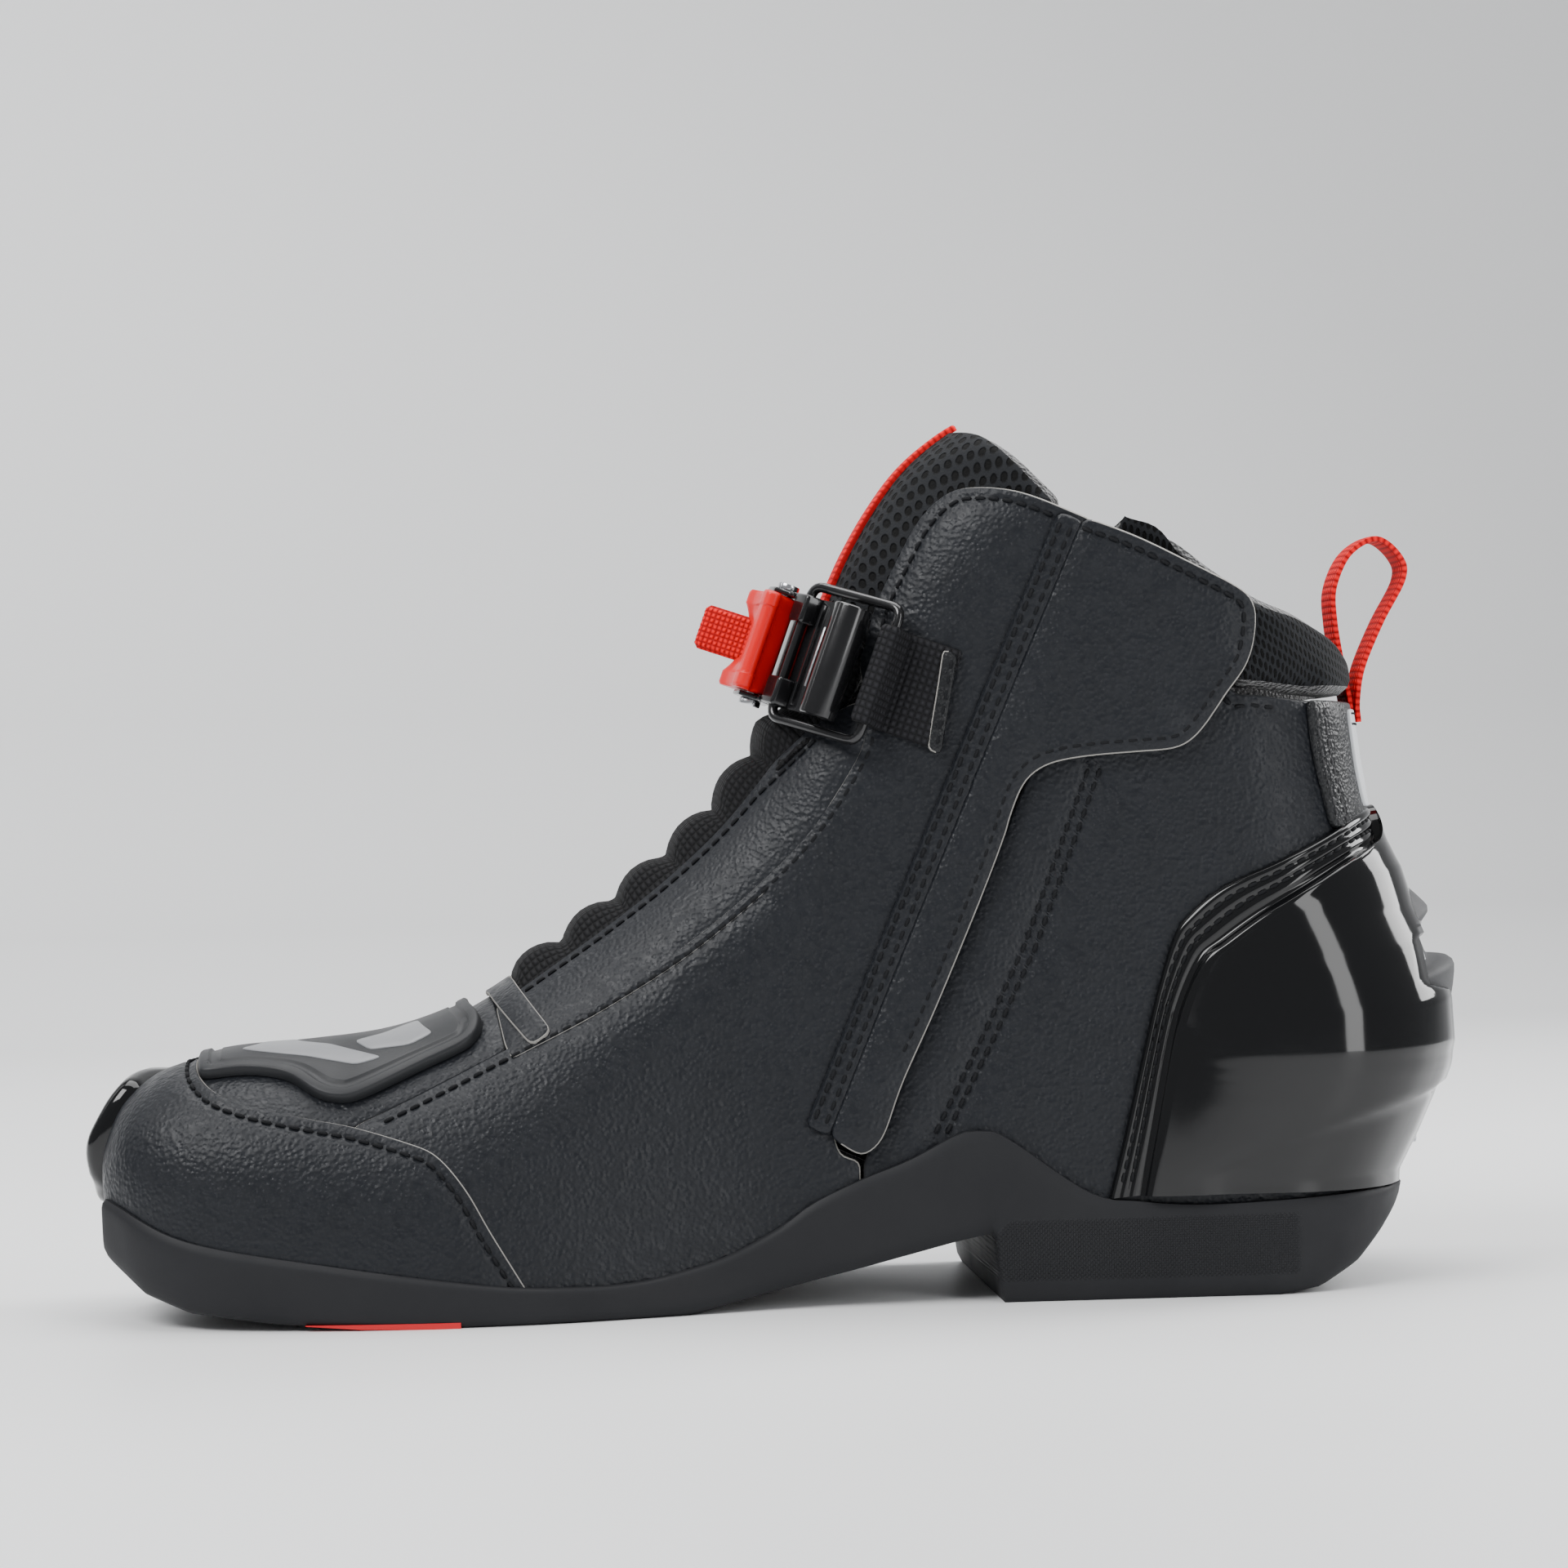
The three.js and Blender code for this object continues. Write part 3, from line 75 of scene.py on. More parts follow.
def make_studio():
    world = bpy.data.worlds.new("studio")
    world.use_nodes = True
    world.node_tree.nodes["Background"].inputs["Color"].default_value = (0.80, 0.81, 0.83, 1)
    world.node_tree.nodes["Background"].inputs["Strength"].default_value = 0.42
    bpy.context.scene.world = world
    middle = (-0.07, 0, 0.08)
    area_light("key", (-0.75, -0.55, 0.95), middle, (0.7, 0.5), 14)
    area_light("top", (0.0, 0.15, 1.1), middle, (1.1, 0.8), 14)
    area_light("rim", (0.75, 0.25, 0.55), middle, (0.35, 0.7), 8)
    area_light("side", (0.55, -0.85, 0.35), middle, (0.25, 0.7), 3.5)
    area_light("backdrop", (-1.2, 0.3, 1.0), (-0.9, 1.6, 0.7), (0.9, 0.9), 16)

    rows = [(-2.5, 0), (0.9, 0), (1.2, 0.04), (1.42, 0.16), (1.55, 0.4), (1.6, 0.8), (1.6, 2.6)]
    verts = [(x, y, z) for y, z in rows for x in (-4, 4)]
    faces = [(2 * i, 2 * i + 1, 2 * i + 3, 2 * i + 2) for i in range(len(rows) - 1)]
    mesh = bpy.data.meshes.new("floor")
    mesh.from_pydata(verts, [], faces)
    mesh.polygons.foreach_set("use_smooth", [True] * len(faces))
    floor = bpy.data.objects.new("floor", mesh)
    bpy.context.scene.collection.objects.link(floor)
    floor.data.materials.append(floor_material())


# ------------------------------------------------------------------ the last: the upper's surface
# Ridge x and z, base x and z, medial, lateral and ridge half-widths, ridge rounding, middle; in mm.
SECTIONS = np.array([
    (-226.5, 27, -226, -6, 4, 4, 4, 4, -9),
    (-228, 34, -223, -6, 13, 12, 11, 10, -8.5),
    (-226.8, 40, -218, -6, 20, 18, 17, 14, -8),
    (-223, 47.5, -210, -6, 27, 25, 24, 20, -7.5),
    (-215, 53.5, -199, -6, 33.5, 31, 30, 26, -6.5),
    (-201, 57, -186, -6, 38, 36.5, 35, 30, -5),
    (-183, 58.2, -171, -6, 41.5, 41, 38, 33, -3.5),
    (-166, 60, -156, -6, 44.5, 45, 40, 35, -2),
    (-152, 64, -142, -6, 46, 48, 40, 36, -0.5),
    (-140, 70, -127, -6, 45.5, 49, 38, 36, 0.5),
    (-127.5, 78.5, -110, -6, 43, 48, 36, 35, 1.5),
    (-115, 87.5, -92, -6, 39.5, 45.5, 34, 34, 2),
    (-102.5, 97.5, -72, -6, 36.5, 42, 32.5, 33, 2),
    (-91.5, 108, -48, -6, 36.5, 38, 31, 32, 1.5),
    (-83, 118.5, -20, -6, 37, 36, 30, 31, 1),
    (-76, 129, 10, -6, 37.5, 35.5, 30, 30, 0.5),
    (-70, 139.5, 38, -6, 38, 36, 30, 30, 0),
    (-66, 148.5, 59.5, 4, 38.3, 36.5, 30, 30, 0),
    (-62, 157.5, 64, 26, 38.6, 37, 30.5, 30, 0),
    (-57.5, 167, 65.3, 50, 39, 38, 31, 30, 0),
    (-51.5, 177, 63.3, 75, 39.4, 39, 32, 30, 0),
    (-44.5, 186, 60.5, 97, 39.8, 40, 33, 30, 0),
    (-36, 193, 57, 118, 40.3, 41, 34, 30, 0),
    (-27, 198, 54.5, 138, 40.7, 42, 35, 30, 0),
    (-14, 206, 53, 156, 41, 42.5, 36, 30, 0),
])
BACK_LINE = np.array([
    (-6, 58), (10, 61), (22, 63.5), (50, 65.3), (75, 63.3), (97, 60.5), (118, 57), (138, 54.5), (156, 53),
])
HEEL_ROUNDING = 34
ROUNDING_POWER = 2.2
LAST = len(SECTIONS) - 1
BACK_START = 17  # from this section on, the base lies on the back line


def smooth(t):
    c = np.clip(t, 0, 1)
    return c * c * (3 - 2 * c)


def rounded(distance, radius):
    near = np.clip(1 - distance / radius, 0, 1)
    return (1 - near ** ROUNDING_POWER) ** (1 / ROUNDING_POWER)


def rows_at(s):
    """The sections' nine values at each s, by a smooth curve through the rows."""
    s = np.clip(s, 0, LAST)
    i = np.minimum(s.astype(int), LAST - 1)
    t = (s - i)[:, None]
    a, b, c, d = (SECTIONS[np.clip(i + k, 0, LAST)] for k in (-1, 0, 1, 2))
    made = b + 0.5 * t * (c - a + t * (2 * a - 5 * b + 4 * c - d + t * (3 * (b - c) + d - a)))
    back = np.interp(made[:, 3], BACK_LINE[:, 0], BACK_LINE[:, 1])
    made[:, 2] = np.where(s >= BACK_START, back, made[:, 2])
    return made


def skin(s, beta):
    """Points of the upper's outer surface in mm. beta is 0 on the ridge and -1 and 1 at the back seam
    or the sole; medial is negative. Past -1 or 1 it goes on round the back to the other side."""
    over = np.abs(beta) > 1
    t = np.where(over, np.abs(beta) - 1, 1 - np.abs(beta))
    side = np.where(beta < 0, -1.0, 1.0) * np.where(over, -1, 1)
    u = 0.5 - 0.5 * np.cos(np.pi * np.clip(t, 0, 1))
    dx, dz, bx, bz, medial, lateral, top, ridge_round, middle = rows_at(s).T
    x = bx + (dx - bx) * u
    z = bz + (dz - bz) * u
    width = np.where(side < 0, medial, lateral)
    half = width + (top - width) * smooth((u - 0.2) / 0.75)
    half *= rounded(np.hypot(dx - bx, dz - bz) * (1 - u), np.maximum(ridge_round, 1))
    half *= rounded(np.interp(z, BACK_LINE[:, 0], BACK_LINE[:, 1]) - x, HEEL_ROUNDING)
    return np.stack([x, middle + side * half, z], 1)


STEP_S, STEP_B = 0.03, 0.004


def tangents(s, beta):
    low, high = np.clip(s - STEP_S, 0, LAST), np.clip(s + STEP_S, 0, LAST)
    along = (skin(high, beta) - skin(low, beta)) / (high - low)[:, None]
    across = (skin(s, beta + STEP_B) - skin(s, beta - STEP_B)) / (2 * STEP_B)
    return along, across


def unit(v):
    return v / np.maximum(np.linalg.norm(v, axis=-1, keepdims=True), 1e-9)


def normals(s, beta):
    return unit(np.cross(*tangents(s, beta)))


FINE_S = np.linspace(0, LAST, 1921)
FINE_ROWS = rows_at(FINE_S)


def locate(x, z):
    """The s and t (0 at the base, 1 on the ridge) of places in the side view."""
    x, z = np.atleast_1d(x).astype(float), np.atleast_1d(z).astype(float)
    dx, dz, bx, bz = FINE_ROWS[:, :4].T
    rx, rz = dx - bx, dz - bz
    px, pz = x[:, None] - bx, z[:, None] - bz
    cross = rx * pz - rz * px
    u = (px * rx + pz * rz) / (rx * rx + rz * rz)
    change = (cross[:, :-1] * cross[:, 1:] <= 0) & (u[:, :-1] > -0.4) & (u[:, :-1] < 1.5)
    cost = np.where(change, np.abs(u[:, :-1] - 0.5), 9)
    i = np.argmin(cost, 1)
    k = np.arange(len(x))
    part = cross[k, i] / np.where(cross[k, i] == cross[k, i + 1], 1, cross[k, i] - cross[k, i + 1])
    s = FINE_S[i] + (FINE_S[1] - FINE_S[0]) * np.clip(part, 0, 1)
    at = u[k, i] + (u[k, i + 1] - u[k, i]) * np.clip(part, 0, 1)
    return s, np.arccos(1 - 2 * np.clip(at, 0, 1)) / np.pi


def beta_of(t, side, over_back=False):
    if side < 0:
        return -(1 - t)
    return -(1 + t) if over_back else 1 - t


ARC_S = np.linspace(0, LAST, 161)
ARC_B = np.linspace(-2, 1, 241)


def arc_tables():
    s, b = (g.ravel() for g in np.meshgrid(ARC_S, ARC_B, indexing="ij"))
    points = skin(s, b).reshape(len(ARC_S), len(ARC_B), 3)
    across = np.linalg.norm(np.diff(points, axis=1), axis=2)
    along = np.linalg.norm(np.diff(points, axis=0), axis=2)
    u = np.concatenate([np.zeros((len(ARC_S), 1)), np.cumsum(across, 1)], 1)
    v = np.concatenate([np.zeros((1, len(ARC_B))), np.cumsum(along, 0)], 0)
    ridge = np.argmin(np.abs(ARC_B))
    return u - u[:, ridge:ridge + 1], v


TABLE_U, TABLE_V = arc_tables()


def arc_uv(s, beta):
    """Distances across and along the surface, in mm, for weaves that follow it."""
    i = np.clip(s / LAST * (len(ARC_S) - 1), 0, len(ARC_S) - 1.001)
    j = np.clip((beta + 2) / 3 * (len(ARC_B) - 1), 0, len(ARC_B) - 1.001)
    i0, j0 = i.astype(int), j.astype(int)
    fi, fj = i - i0, j - j0

    def read(table):
        top = table[i0, j0] * (1 - fj) + table[i0, j0 + 1] * fj
        low = table[i0 + 1, j0] * (1 - fj) + table[i0 + 1, j0 + 1] * fj
        return top * (1 - fi) + low * fi

    return np.stack([read(TABLE_U), read(TABLE_V)], 1)


# ------------------------------------------------------------------ runs and outlines
def spline(points, step=1.0):
    """A smooth run through points, with a point about every step mm."""
    p = np.asarray(points, float)
    ends = np.vstack([2 * p[0] - p[1], p, 2 * p[-1] - p[-2]])
    made = []
    for a, b, c, d in zip(ends, ends[1:], ends[2:], ends[3:]):
        count = max(int(np.linalg.norm(c - b) / step), 1)
        t = np.arange(count)[:, None] / count
        made.append(b + 0.5 * t * (c - a + t * (2 * a - 5 * b + 4 * c - d + t * (3 * (b - c) + d - a))))
    return np.vstack(made + [p[-1:]])


def straight(points, step=1.0):
    p = np.asarray(points, float)
    made = []
    for a, b in zip(p, p[1:]):
        count = max(int(np.linalg.norm(b - a) / step), 1)
        made.append(a + (b - a) * np.arange(count)[:, None] / count)
    return np.vstack(made + [p[-1:]])


def beside(run, distance):
    """A run moved to the right of its direction."""
    run = np.asarray(run, float)
    way = np.gradient(run, axis=0)
    way /= np.linalg.norm(way, axis=1, keepdims=True)
    return run + np.stack([way[:, 1], -way[:, 0]], 1) * distance


def on_skin(run, side, over_back=False):
    run = np.asarray(run, float)
    s, t = locate(run[:, 0], run[:, 1])
    return np.stack([s, beta_of(t, side, over_back)], 1)


def apart(run, side, least=0.105):
    """Surface places kept off the ridge, so that the instep's opening has a width."""
    places = on_skin(run, side)
    places[:, 1] = side * np.maximum(np.abs(places[:, 1]), least)
    return places


def resample(loop, step, closed=True):
    """Surface places evenly spaced in 3-D along a run of them."""
    loop = np.vstack([loop, loop[:1]]) if closed else loop
    path = np.concatenate([[0], np.cumsum(np.linalg.norm(np.diff(skin(*loop.T), axis=0), axis=1))])
    count = max(int(round(path[-1] / step)), 6 if closed else 1)
    targets = np.linspace(0, path[-1], count + 1)
    if closed:
        targets = targets[:-1]
    return np.stack([np.interp(targets, path, loop[:, k]) for k in (0, 1)], 1)


def evenly(loop, step):
    """A closed flat loop as evenly spaced points."""
    loop = np.vstack([loop, loop[:1]])
    path = np.concatenate([[0], np.cumsum(np.hypot(*np.diff(loop, axis=0).T))])
    targets = np.linspace(0, path[-1], int(round(path[-1] / step)) + 1)[:-1]
    return np.stack([np.interp(targets, path, loop[:, k]) for k in (0, 1)], 1)


def soften(loop, rounds):
    for _ in range(rounds):
        loop = 0.5 * loop + 0.25 * (np.roll(loop, 1, 0) + np.roll(loop, -1, 0))
    return loop


def inside_loop(points, loop):
    x, y = points[:, :1], points[:, 1:]
    x0, y0 = loop.T
    x1, y1 = np.roll(loop, -1, 0).T
    crosses = (y0 > y) != (y1 > y)
    cut = x0 + (y - y0) * (x1 - x0) / np.where(y1 == y0, 1e-9, y1 - y0)
    return (np.sum(crosses & (x < cut), 1) % 2).astype(bool)


def run_distance(points, run):
    """Distance from each point to a polyline, in the space they share."""
    best = np.full(len(points), 1e9)
    for a, b in zip(run[:-1], run[1:]):
        d = b - a
        t = np.clip((points - a) @ d / max(d @ d, 1e-12), 0, 1)
        best = np.minimum(best, np.linalg.norm(points - a - t[:, None] * d, axis=1))
    return best


# ------------------------------------------------------------------ objects
def new_object(name, verts, faces, materials, face_slots=None, uv=None, shade_smooth=True):
    mesh = bpy.data.meshes.new(name)
    mesh.from_pydata([tuple(v) for v in np.asarray(verts) * MM], [], [tuple(map(int, f)) for f in faces])
    if shade_smooth:
        mesh.polygons.foreach_set("use_smooth", [True] * len(mesh.polygons))
    for material in materials:
        mesh.materials.append(material)
    if face_slots is not None:
        mesh.polygons.foreach_set("material_index", np.asarray(face_slots, np.int32))
    if uv is not None:
        layer = mesh.uv_layers.new(name="surface")
        order = np.empty(len(mesh.loops), np.int32)
        mesh.loops.foreach_get("vertex_index", order)
        layer.data.foreach_set("uv", (np.asarray(uv)[order] * MM).astype(np.float32).ravel())
    mesh.validate()
    obj = bpy.data.objects.new(name, mesh)
    bpy.context.scene.collection.objects.link(obj)
    return obj


def sharpen(obj, degrees=40):
    """Smooth faces with sharp edges where the shape turns quickly."""
    obj.data.set_sharp_from_angle(angle=math.radians(degrees))


CDT_SCALE = np.array([11.0, 75.0])
LONGEST_S, LONGEST_B = 0.4, 0.06


def clear_of(points, others, distance):
    """Which points are farther than distance from all the others."""
    return np.array([np.min(np.sum((others - p) ** 2, 1)) > distance ** 2 for p in points], bool)


def jacobian_move(loop, offsets):
    """Surface places moved by 3-D offsets that lie in the surface."""
    along, across = tangents(*loop.T)
    aa, ab, bb = (np.sum(p * q, 1) for p, q in ((along, along), (along, across), (across, across)))
    ra, rb = np.sum(along * offsets, 1), np.sum(across * offsets, 1)
    det = np.maximum(aa * bb - ab * ab, 1e-6)
    moves = np.stack([(bb * ra - ab * rb) / det, (aa * rb - ab * ra) / det], 1)
    return loop + np.clip(moves, (-LONGEST_S, -LONGEST_B), (LONGEST_S, LONGEST_B))


def panel(name, outline, materials, lift=0.0, thickness=1.6, roll=0.6, spacing=2.6, step=1.3,
          height=None, extra=None, corner=3, body="upper", slot="leather", replaces=(), plain=None):
    """A piece that lies on the upper inside an outline of surface places. height adds to its outer
    surface at each point; extra places are used as well as an even grid. plain tells, for points on the
    outline, where the edge has the face's material."""
    loop = soften(resample(np.asarray(outline), step), corner)
    a, b = loop.T
    if np.sum(a * np.roll(b, -1) - b * np.roll(a, -1)) < 0:
        loop = loop[::-1]
    points = skin(*loop.T)
    way = unit(np.roll(points, -1, 0) - np.roll(points, 1, 0))
    inward = np.cross(normals(*loop.T), way)
    rings = [jacobian_move(loop, inward * d) for d in (0.0, 0.5 * roll, roll)]
    inner = rings[-1]

    flat = inner * CDT_SCALE
    low, high = flat.min(0), flat.max(0)
    grid = np.stack([g.ravel() for g in np.meshgrid(
        np.arange(low[0] + spacing / 2, high[0], spacing),
        np.arange(low[1] + spacing / 2, high[1], spacing))], 1)
    if extra is not None:
        extra = np.asarray(extra) * CDT_SCALE
        grid = np.vstack([grid[clear_of(grid, extra, 0.5 * spacing)], extra])
    grid = grid[inside_loop(grid, flat)]
    if len(grid):
        grid = grid[run_distance(grid, np.vstack([flat, flat[:1]])) > 0.4 * spacing]
    count = len(flat)
    everything = [Vector(p) for p in np.vstack([flat, grid])]
    made = delaunay_2d_cdt(everything, [], [list(range(count))], 1, 1e-5)
    verts2, faces2, origins = made[0], made[2], made[3]
    core = np.array([tuple(v) for v in verts2]) / CDT_SCALE
    ring_of = {origin: k for k, group in enumerate(origins) for origin in group if origin < count}
    ring_index = np.array([ring_of[k] for k in range(count)])

    bottom = lift
    top = lift + thickness
    levels = [(rings[0], bottom), (rings[0], top - roll), (rings[1], top - 0.25 * roll)]
    places = np.vstack([core, core] + [ring for ring, _ in levels])
    heights = np.concatenate(
        [np.full(len(core), top), np.full(len(core), bottom)]
        + [np.full(count, level) for _, level in levels])
    if height is not None:
        upper = np.concatenate([np.arange(len(core)), np.arange(2 * len(core) + count, len(places))])
        heights[upper] += height(skin(*places[upper].T), places[upper])
    verts = skin(*places.T) + normals(*places.T) * heights[:, None]
    size = len(core)
    faces, slots = [], []
    for tri in faces2:
        faces.append(tri)
        faces.append([size + k for k in reversed(tri)])
        slots += [0, 0]
    starts = [2 * size + k * count for k in range(3)]
    chains = [
        (size + ring_index, starts[0] + np.arange(count), 1),
        (starts[0] + np.arange(count), starts[1] + np.arange(count), 1),
        (starts[1] + np.arange(count), starts[2] + np.arange(count), 1),
        (starts[2] + np.arange(count), ring_index, 0),
    ]
    kept = plain(points) if plain else np.zeros(count, bool)
    for one, other, face_slot in chains:
        for k in range(count):
            n = (k + 1) % count
            faces.append((one[k], one[n], other[n], other[k]))
            slots.append(face_slot if len(materials) > 1 and not kept[k] else 0)
    obj = new_object(name, verts, faces, materials, slots, arc_uv(*places.T))
    mesh_fix(obj)
    sharpen(obj, 50)
    finish_piece(obj, body, replaces)
    return obj


def mesh_fix(obj):
    work = bmesh.new()
    work.from_mesh(obj.data)
    bmesh.ops.recalc_face_normals(work, faces=work.faces)
    work.to_mesh(obj.data)
    work.free()


def finish_piece(obj, body, replaces=()):
    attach(obj, body)
    if replaces:
        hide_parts(*replaces)


def stitches(name, runs, material, height=1.7, pitch=3.1, length=2.3, radius=0.42, body="upper"):
    """Threads along runs of surface places, as one piece."""
    profile = [(-0.5, -0.35, 0.55), (-0.38, 0.02, 0.95), (0, 0.14, 1.05), (0.38, 0.02, 0.95),
               (0.5, -0.35, 0.55)]
    turns = np.arange(6) * np.pi / 3
    verts, faces = [], []
    for run in runs:
        dense = resample(np.asarray(run), 0.6, closed=False)
        points = skin(*dense.T)
        path = np.concatenate([[0], np.cumsum(np.linalg.norm(np.diff(points, axis=0), axis=1))])
        count = int(path[-1] / pitch)
        for k in range(count):
            centre = (k + 0.5) * path[-1] / count
            ring_starts = []
            for part, rise, wide in profile:
                at = centre + part * length
                place = np.array([[np.interp(at, path, dense[:, j]) for j in (0, 1)]])
                ahead = np.array([[np.interp(at + 0.3, path, dense[:, j]) for j in (0, 1)]])
                base = skin(*place.T)[0]
                way = unit(skin(*ahead.T)[0] - base)
                out = normals(*place.T)[0]
                across = np.cross(out, way)
                rise_to = height(base[None], place)[0] if callable(height) else height
                middle = base + out * (rise_to + rise * radius * 1.6)
                ring_starts.append(len(verts))
                verts += [
                    middle + radius * wide * (np.cos(a) * across + np.sin(a) * out) for a in turns]
            for one, other in zip(ring_starts, ring_starts[1:]):
                faces += [(one + j, one + (j + 1) % 6, other + (j + 1) % 6, other + j) for j in range(6)]
            faces.append([ring_starts[0] + j for j in reversed(range(6))])
            faces.append([ring_starts[-1] + j for j in range(6)])
    obj = new_object(name, verts, faces, [material])
    mesh_fix(obj)
    finish_piece(obj, body)
    return obj


# ------------------------------------------------------------------ materials
class Look:
    """A node material that is built up from procedural textures in the row frame."""

    def __init__(self, name, color, roughness, **sockets):
        self.material = bpy.data.materials.new(name)
        self.material.use_nodes = True
        self.tree = self.material.node_tree
        self.bsdf = self.tree.nodes["Principled BSDF"]
        self.set("Base Color", (*color, 1))
        self.set("Roughness", roughness)
        for socket, value in sockets.items():
            self.set(socket.replace("_", " "), value)
        coords = self.tree.nodes.new("ShaderNodeTexCoord")
        self.place = coords.outputs["Object"]
        self.uv = coords.outputs["UV"]

    def set(self, socket, value):
        target = self.bsdf.inputs[socket]
        if isinstance(value, bpy.types.NodeSocket):
            self.tree.links.new(value, target)
        else:
            target.default_value = value

    def add(self, kind, inputs, output=0, **settings):
        node = self.tree.nodes.new(kind)
        for key, value in settings.items():
            setattr(node, key, value)
        for key, value in inputs.items():
            if isinstance(value, bpy.types.NodeSocket):
                self.tree.links.new(value, node.inputs[key])
            else:
                node.inputs[key].default_value = value
        return node.outputs[output]

    def noise(self, size_mm, detail=3, vector=None):
        return self.add("ShaderNodeTexNoise", {
            "Vector": vector or self.place, "Scale": 1000 / size_mm, "Detail": detail})

    def cells(self, size_mm, feature="F1", randomness=1.0, vector=None):
        return self.add("ShaderNodeTexVoronoi", {
            "Vector": vector or self.place, "Scale": 1000 / size_mm, "Randomness": randomness},
            feature=feature)

    def math(self, operation, a, b=0.0):
        return self.add("ShaderNodeMath", {0: a, 1: b}, operation=operation)

    def remap(self, value, low, high, to_low, to_high):
        return self.add("ShaderNodeMapRange", {
            "Value": value, "From Min": low, "From Max": high, "To Min": to_low, "To Max": to_high})

    def blend(self, fraction, a, b):
        return self.add("ShaderNodeMix", {0: fraction, 6: (*a, 1), 7: (*b, 1)}, output=2, data_type="RGBA")

    def bump(self, *layers):
        normal = None
        for height, depth_mm, strength in layers:
            inputs = {"Height": height, "Distance": depth_mm * MM, "Strength": strength}
            if normal:
                inputs["Normal"] = normal
            normal = self.add("ShaderNodeBump", inputs)
        self.set("Normal", normal)

    def grid(self, across_mm, along_mm, shift=0.0):
        """Places in a repeating cell of the surface's own lengths, from -0.5 to 0.5."""
        scaled = self.add("ShaderNodeVectorMath", {
            0: self.uv, 1: (1000 / across_mm, 1000 / along_mm, 0)}, operation="MULTIPLY")
        moved = self.add("ShaderNodeVectorMath", {0: scaled, 1: (shift, shift, 0)}, operation="ADD")
        part = self.add("ShaderNodeVectorMath", {0: moved}, operation="FRACTION")
        return self.add("ShaderNodeVectorMath", {0: part, 1: (-0.5, -0.5, 0)}, operation="ADD")

    def hexagons(self, size_mm):
        """Distance to the nearest point of a hexagonal lattice, in cell widths."""
        root = math.sqrt(3)
        distances = []
        for shift in (0.0, 0.5):
            cell = self.grid(size_mm, size_mm * root, shift)
            scaled = self.add("ShaderNodeVectorMath", {0: cell, 1: (1, root, 0)}, operation="MULTIPLY")
            distances.append(self.add("ShaderNodeVectorMath", {0: scaled}, output=1, operation="LENGTH"))
        return self.math("MINIMUM", *distances)

    def weave(self, size_mm):
        """An over-and-under basket weave of the surface's own lengths, from 0 to 1."""
        split = self.add("ShaderNodeVectorMath", {
            0: self.uv, 1: (1000 * math.pi / size_mm,) * 3}, operation="MULTIPLY")
        parts = self.tree.nodes.new("ShaderNodeSeparateXYZ")
        self.tree.links.new(split, parts.inputs[0])
        a = self.math("SINE", parts.outputs[0])
        b = self.math("SINE", parts.outputs[1])
        return self.math("ABSOLUTE", self.math("MULTIPLY", a, b))


def leather_look(name, color=(0.0075, 0.0085, 0.0108), roughness=0.44, grain=0.95):
    look = Look(name, color, roughness, Specular_IOR_Level=0.25)
    pebbles = look.cells(grain, feature="SMOOTH_F1")
    fine = look.noise(grain * 0.35, 2)
    creases = look.noise(9, 5)
    # The grain's colour is partly painted shade: darker along the pebbles' borders and where the crease noise
    # is high, as painted shade in the valleys and creases, and up to 1.45 times lighter elsewhere.
    shade = look.math("ADD", look.math("MULTIPLY", creases, 0.6), look.math("MULTIPLY", pebbles, 0.5))
    look.set("Base Color", look.blend(look.remap(shade, 0.3, 0.9, 1, 0), color,
                                      tuple(1.45 * c for c in color)))
    look.set("Roughness", look.remap(look.noise(2.2, 3), 0.35, 0.7, roughness - 0.07, roughness + 0.1))
    look.bump((creases, 0.4, 0.12), (pebbles, 0.3, 0.85), (fine, 0.06, 0.6))
    return look.material


def plain_look(name, color, roughness, grain_mm=0.5, depth=0.05, spread=0.06, **sockets):
    """Moulded plastic, rubber or metal: fine grain, and a gloss that varies a little."""
    look = Look(name, color, roughness, **sockets)
    grain = look.noise(grain_mm, 3)
    look.set("Roughness", look.remap(look.noise(14, 4), 0.3, 0.7, roughness - spread, roughness + spread))
    look.bump((grain, depth, 0.5))
    return look.material


def mesh_look(name, size_mm, color=(0.007, 0.0075, 0.0085)):
    look = Look(name, color, 0.8, Specular_IOR_Level=0.16)
    hexagon = look.hexagons(size_mm)
    hole = look.remap(hexagon, 0.24, 0.36, 0, 1)
    threads = look.noise(0.45, 2)
    # The holes are painted near-black, as painted shade in the openings; the threads between them are painted
    # 2.1 times lighter.
    look.set("Base Color", look.blend(hole, (0.002, 0.002, 0.002), tuple(2.1 * c for c in color)))
    look.bump((hole, 0.75, 1.0), (threads, 0.2, 0.7))
    return look.material


def weave_look(name, color, size_mm=1.2, depth=0.35, roughness=0.8):
    look = Look(name, color, roughness, Specular_IOR_Level=0.18)
    weave = look.weave(size_mm)
    threads = look.noise(0.4, 2)
    # Painted shade and light: the weave's dips are painted darker (0.45 times its colour) and its crowns
    # lighter (1.5 times).
    look.set("Base Color", look.blend(weave, tuple(0.45 * c for c in color), tuple(1.5 * c for c in color)))
    look.bump((weave, depth, 0.9), (threads, 0.12, 0.6))
    return look.material


def fuzzy_look(name, color):
    look = Look(name, color, 0.95, Sheen_Weight=0.5, Sheen_Roughness=0.5)
    tufts = look.cells(1.0)
    # Painted light and shade in the pile: the tufts' middles are painted lighter, the gaps between tufts
    # darker.
    look.set("Base Color", look.blend(tufts, tuple(1.8 * c for c in color), tuple(0.4 * c for c in color)))
    look.bump((tufts, 0.7, 1.0), (look.noise(0.3, 3), 0.3, 0.8))
    return look.material


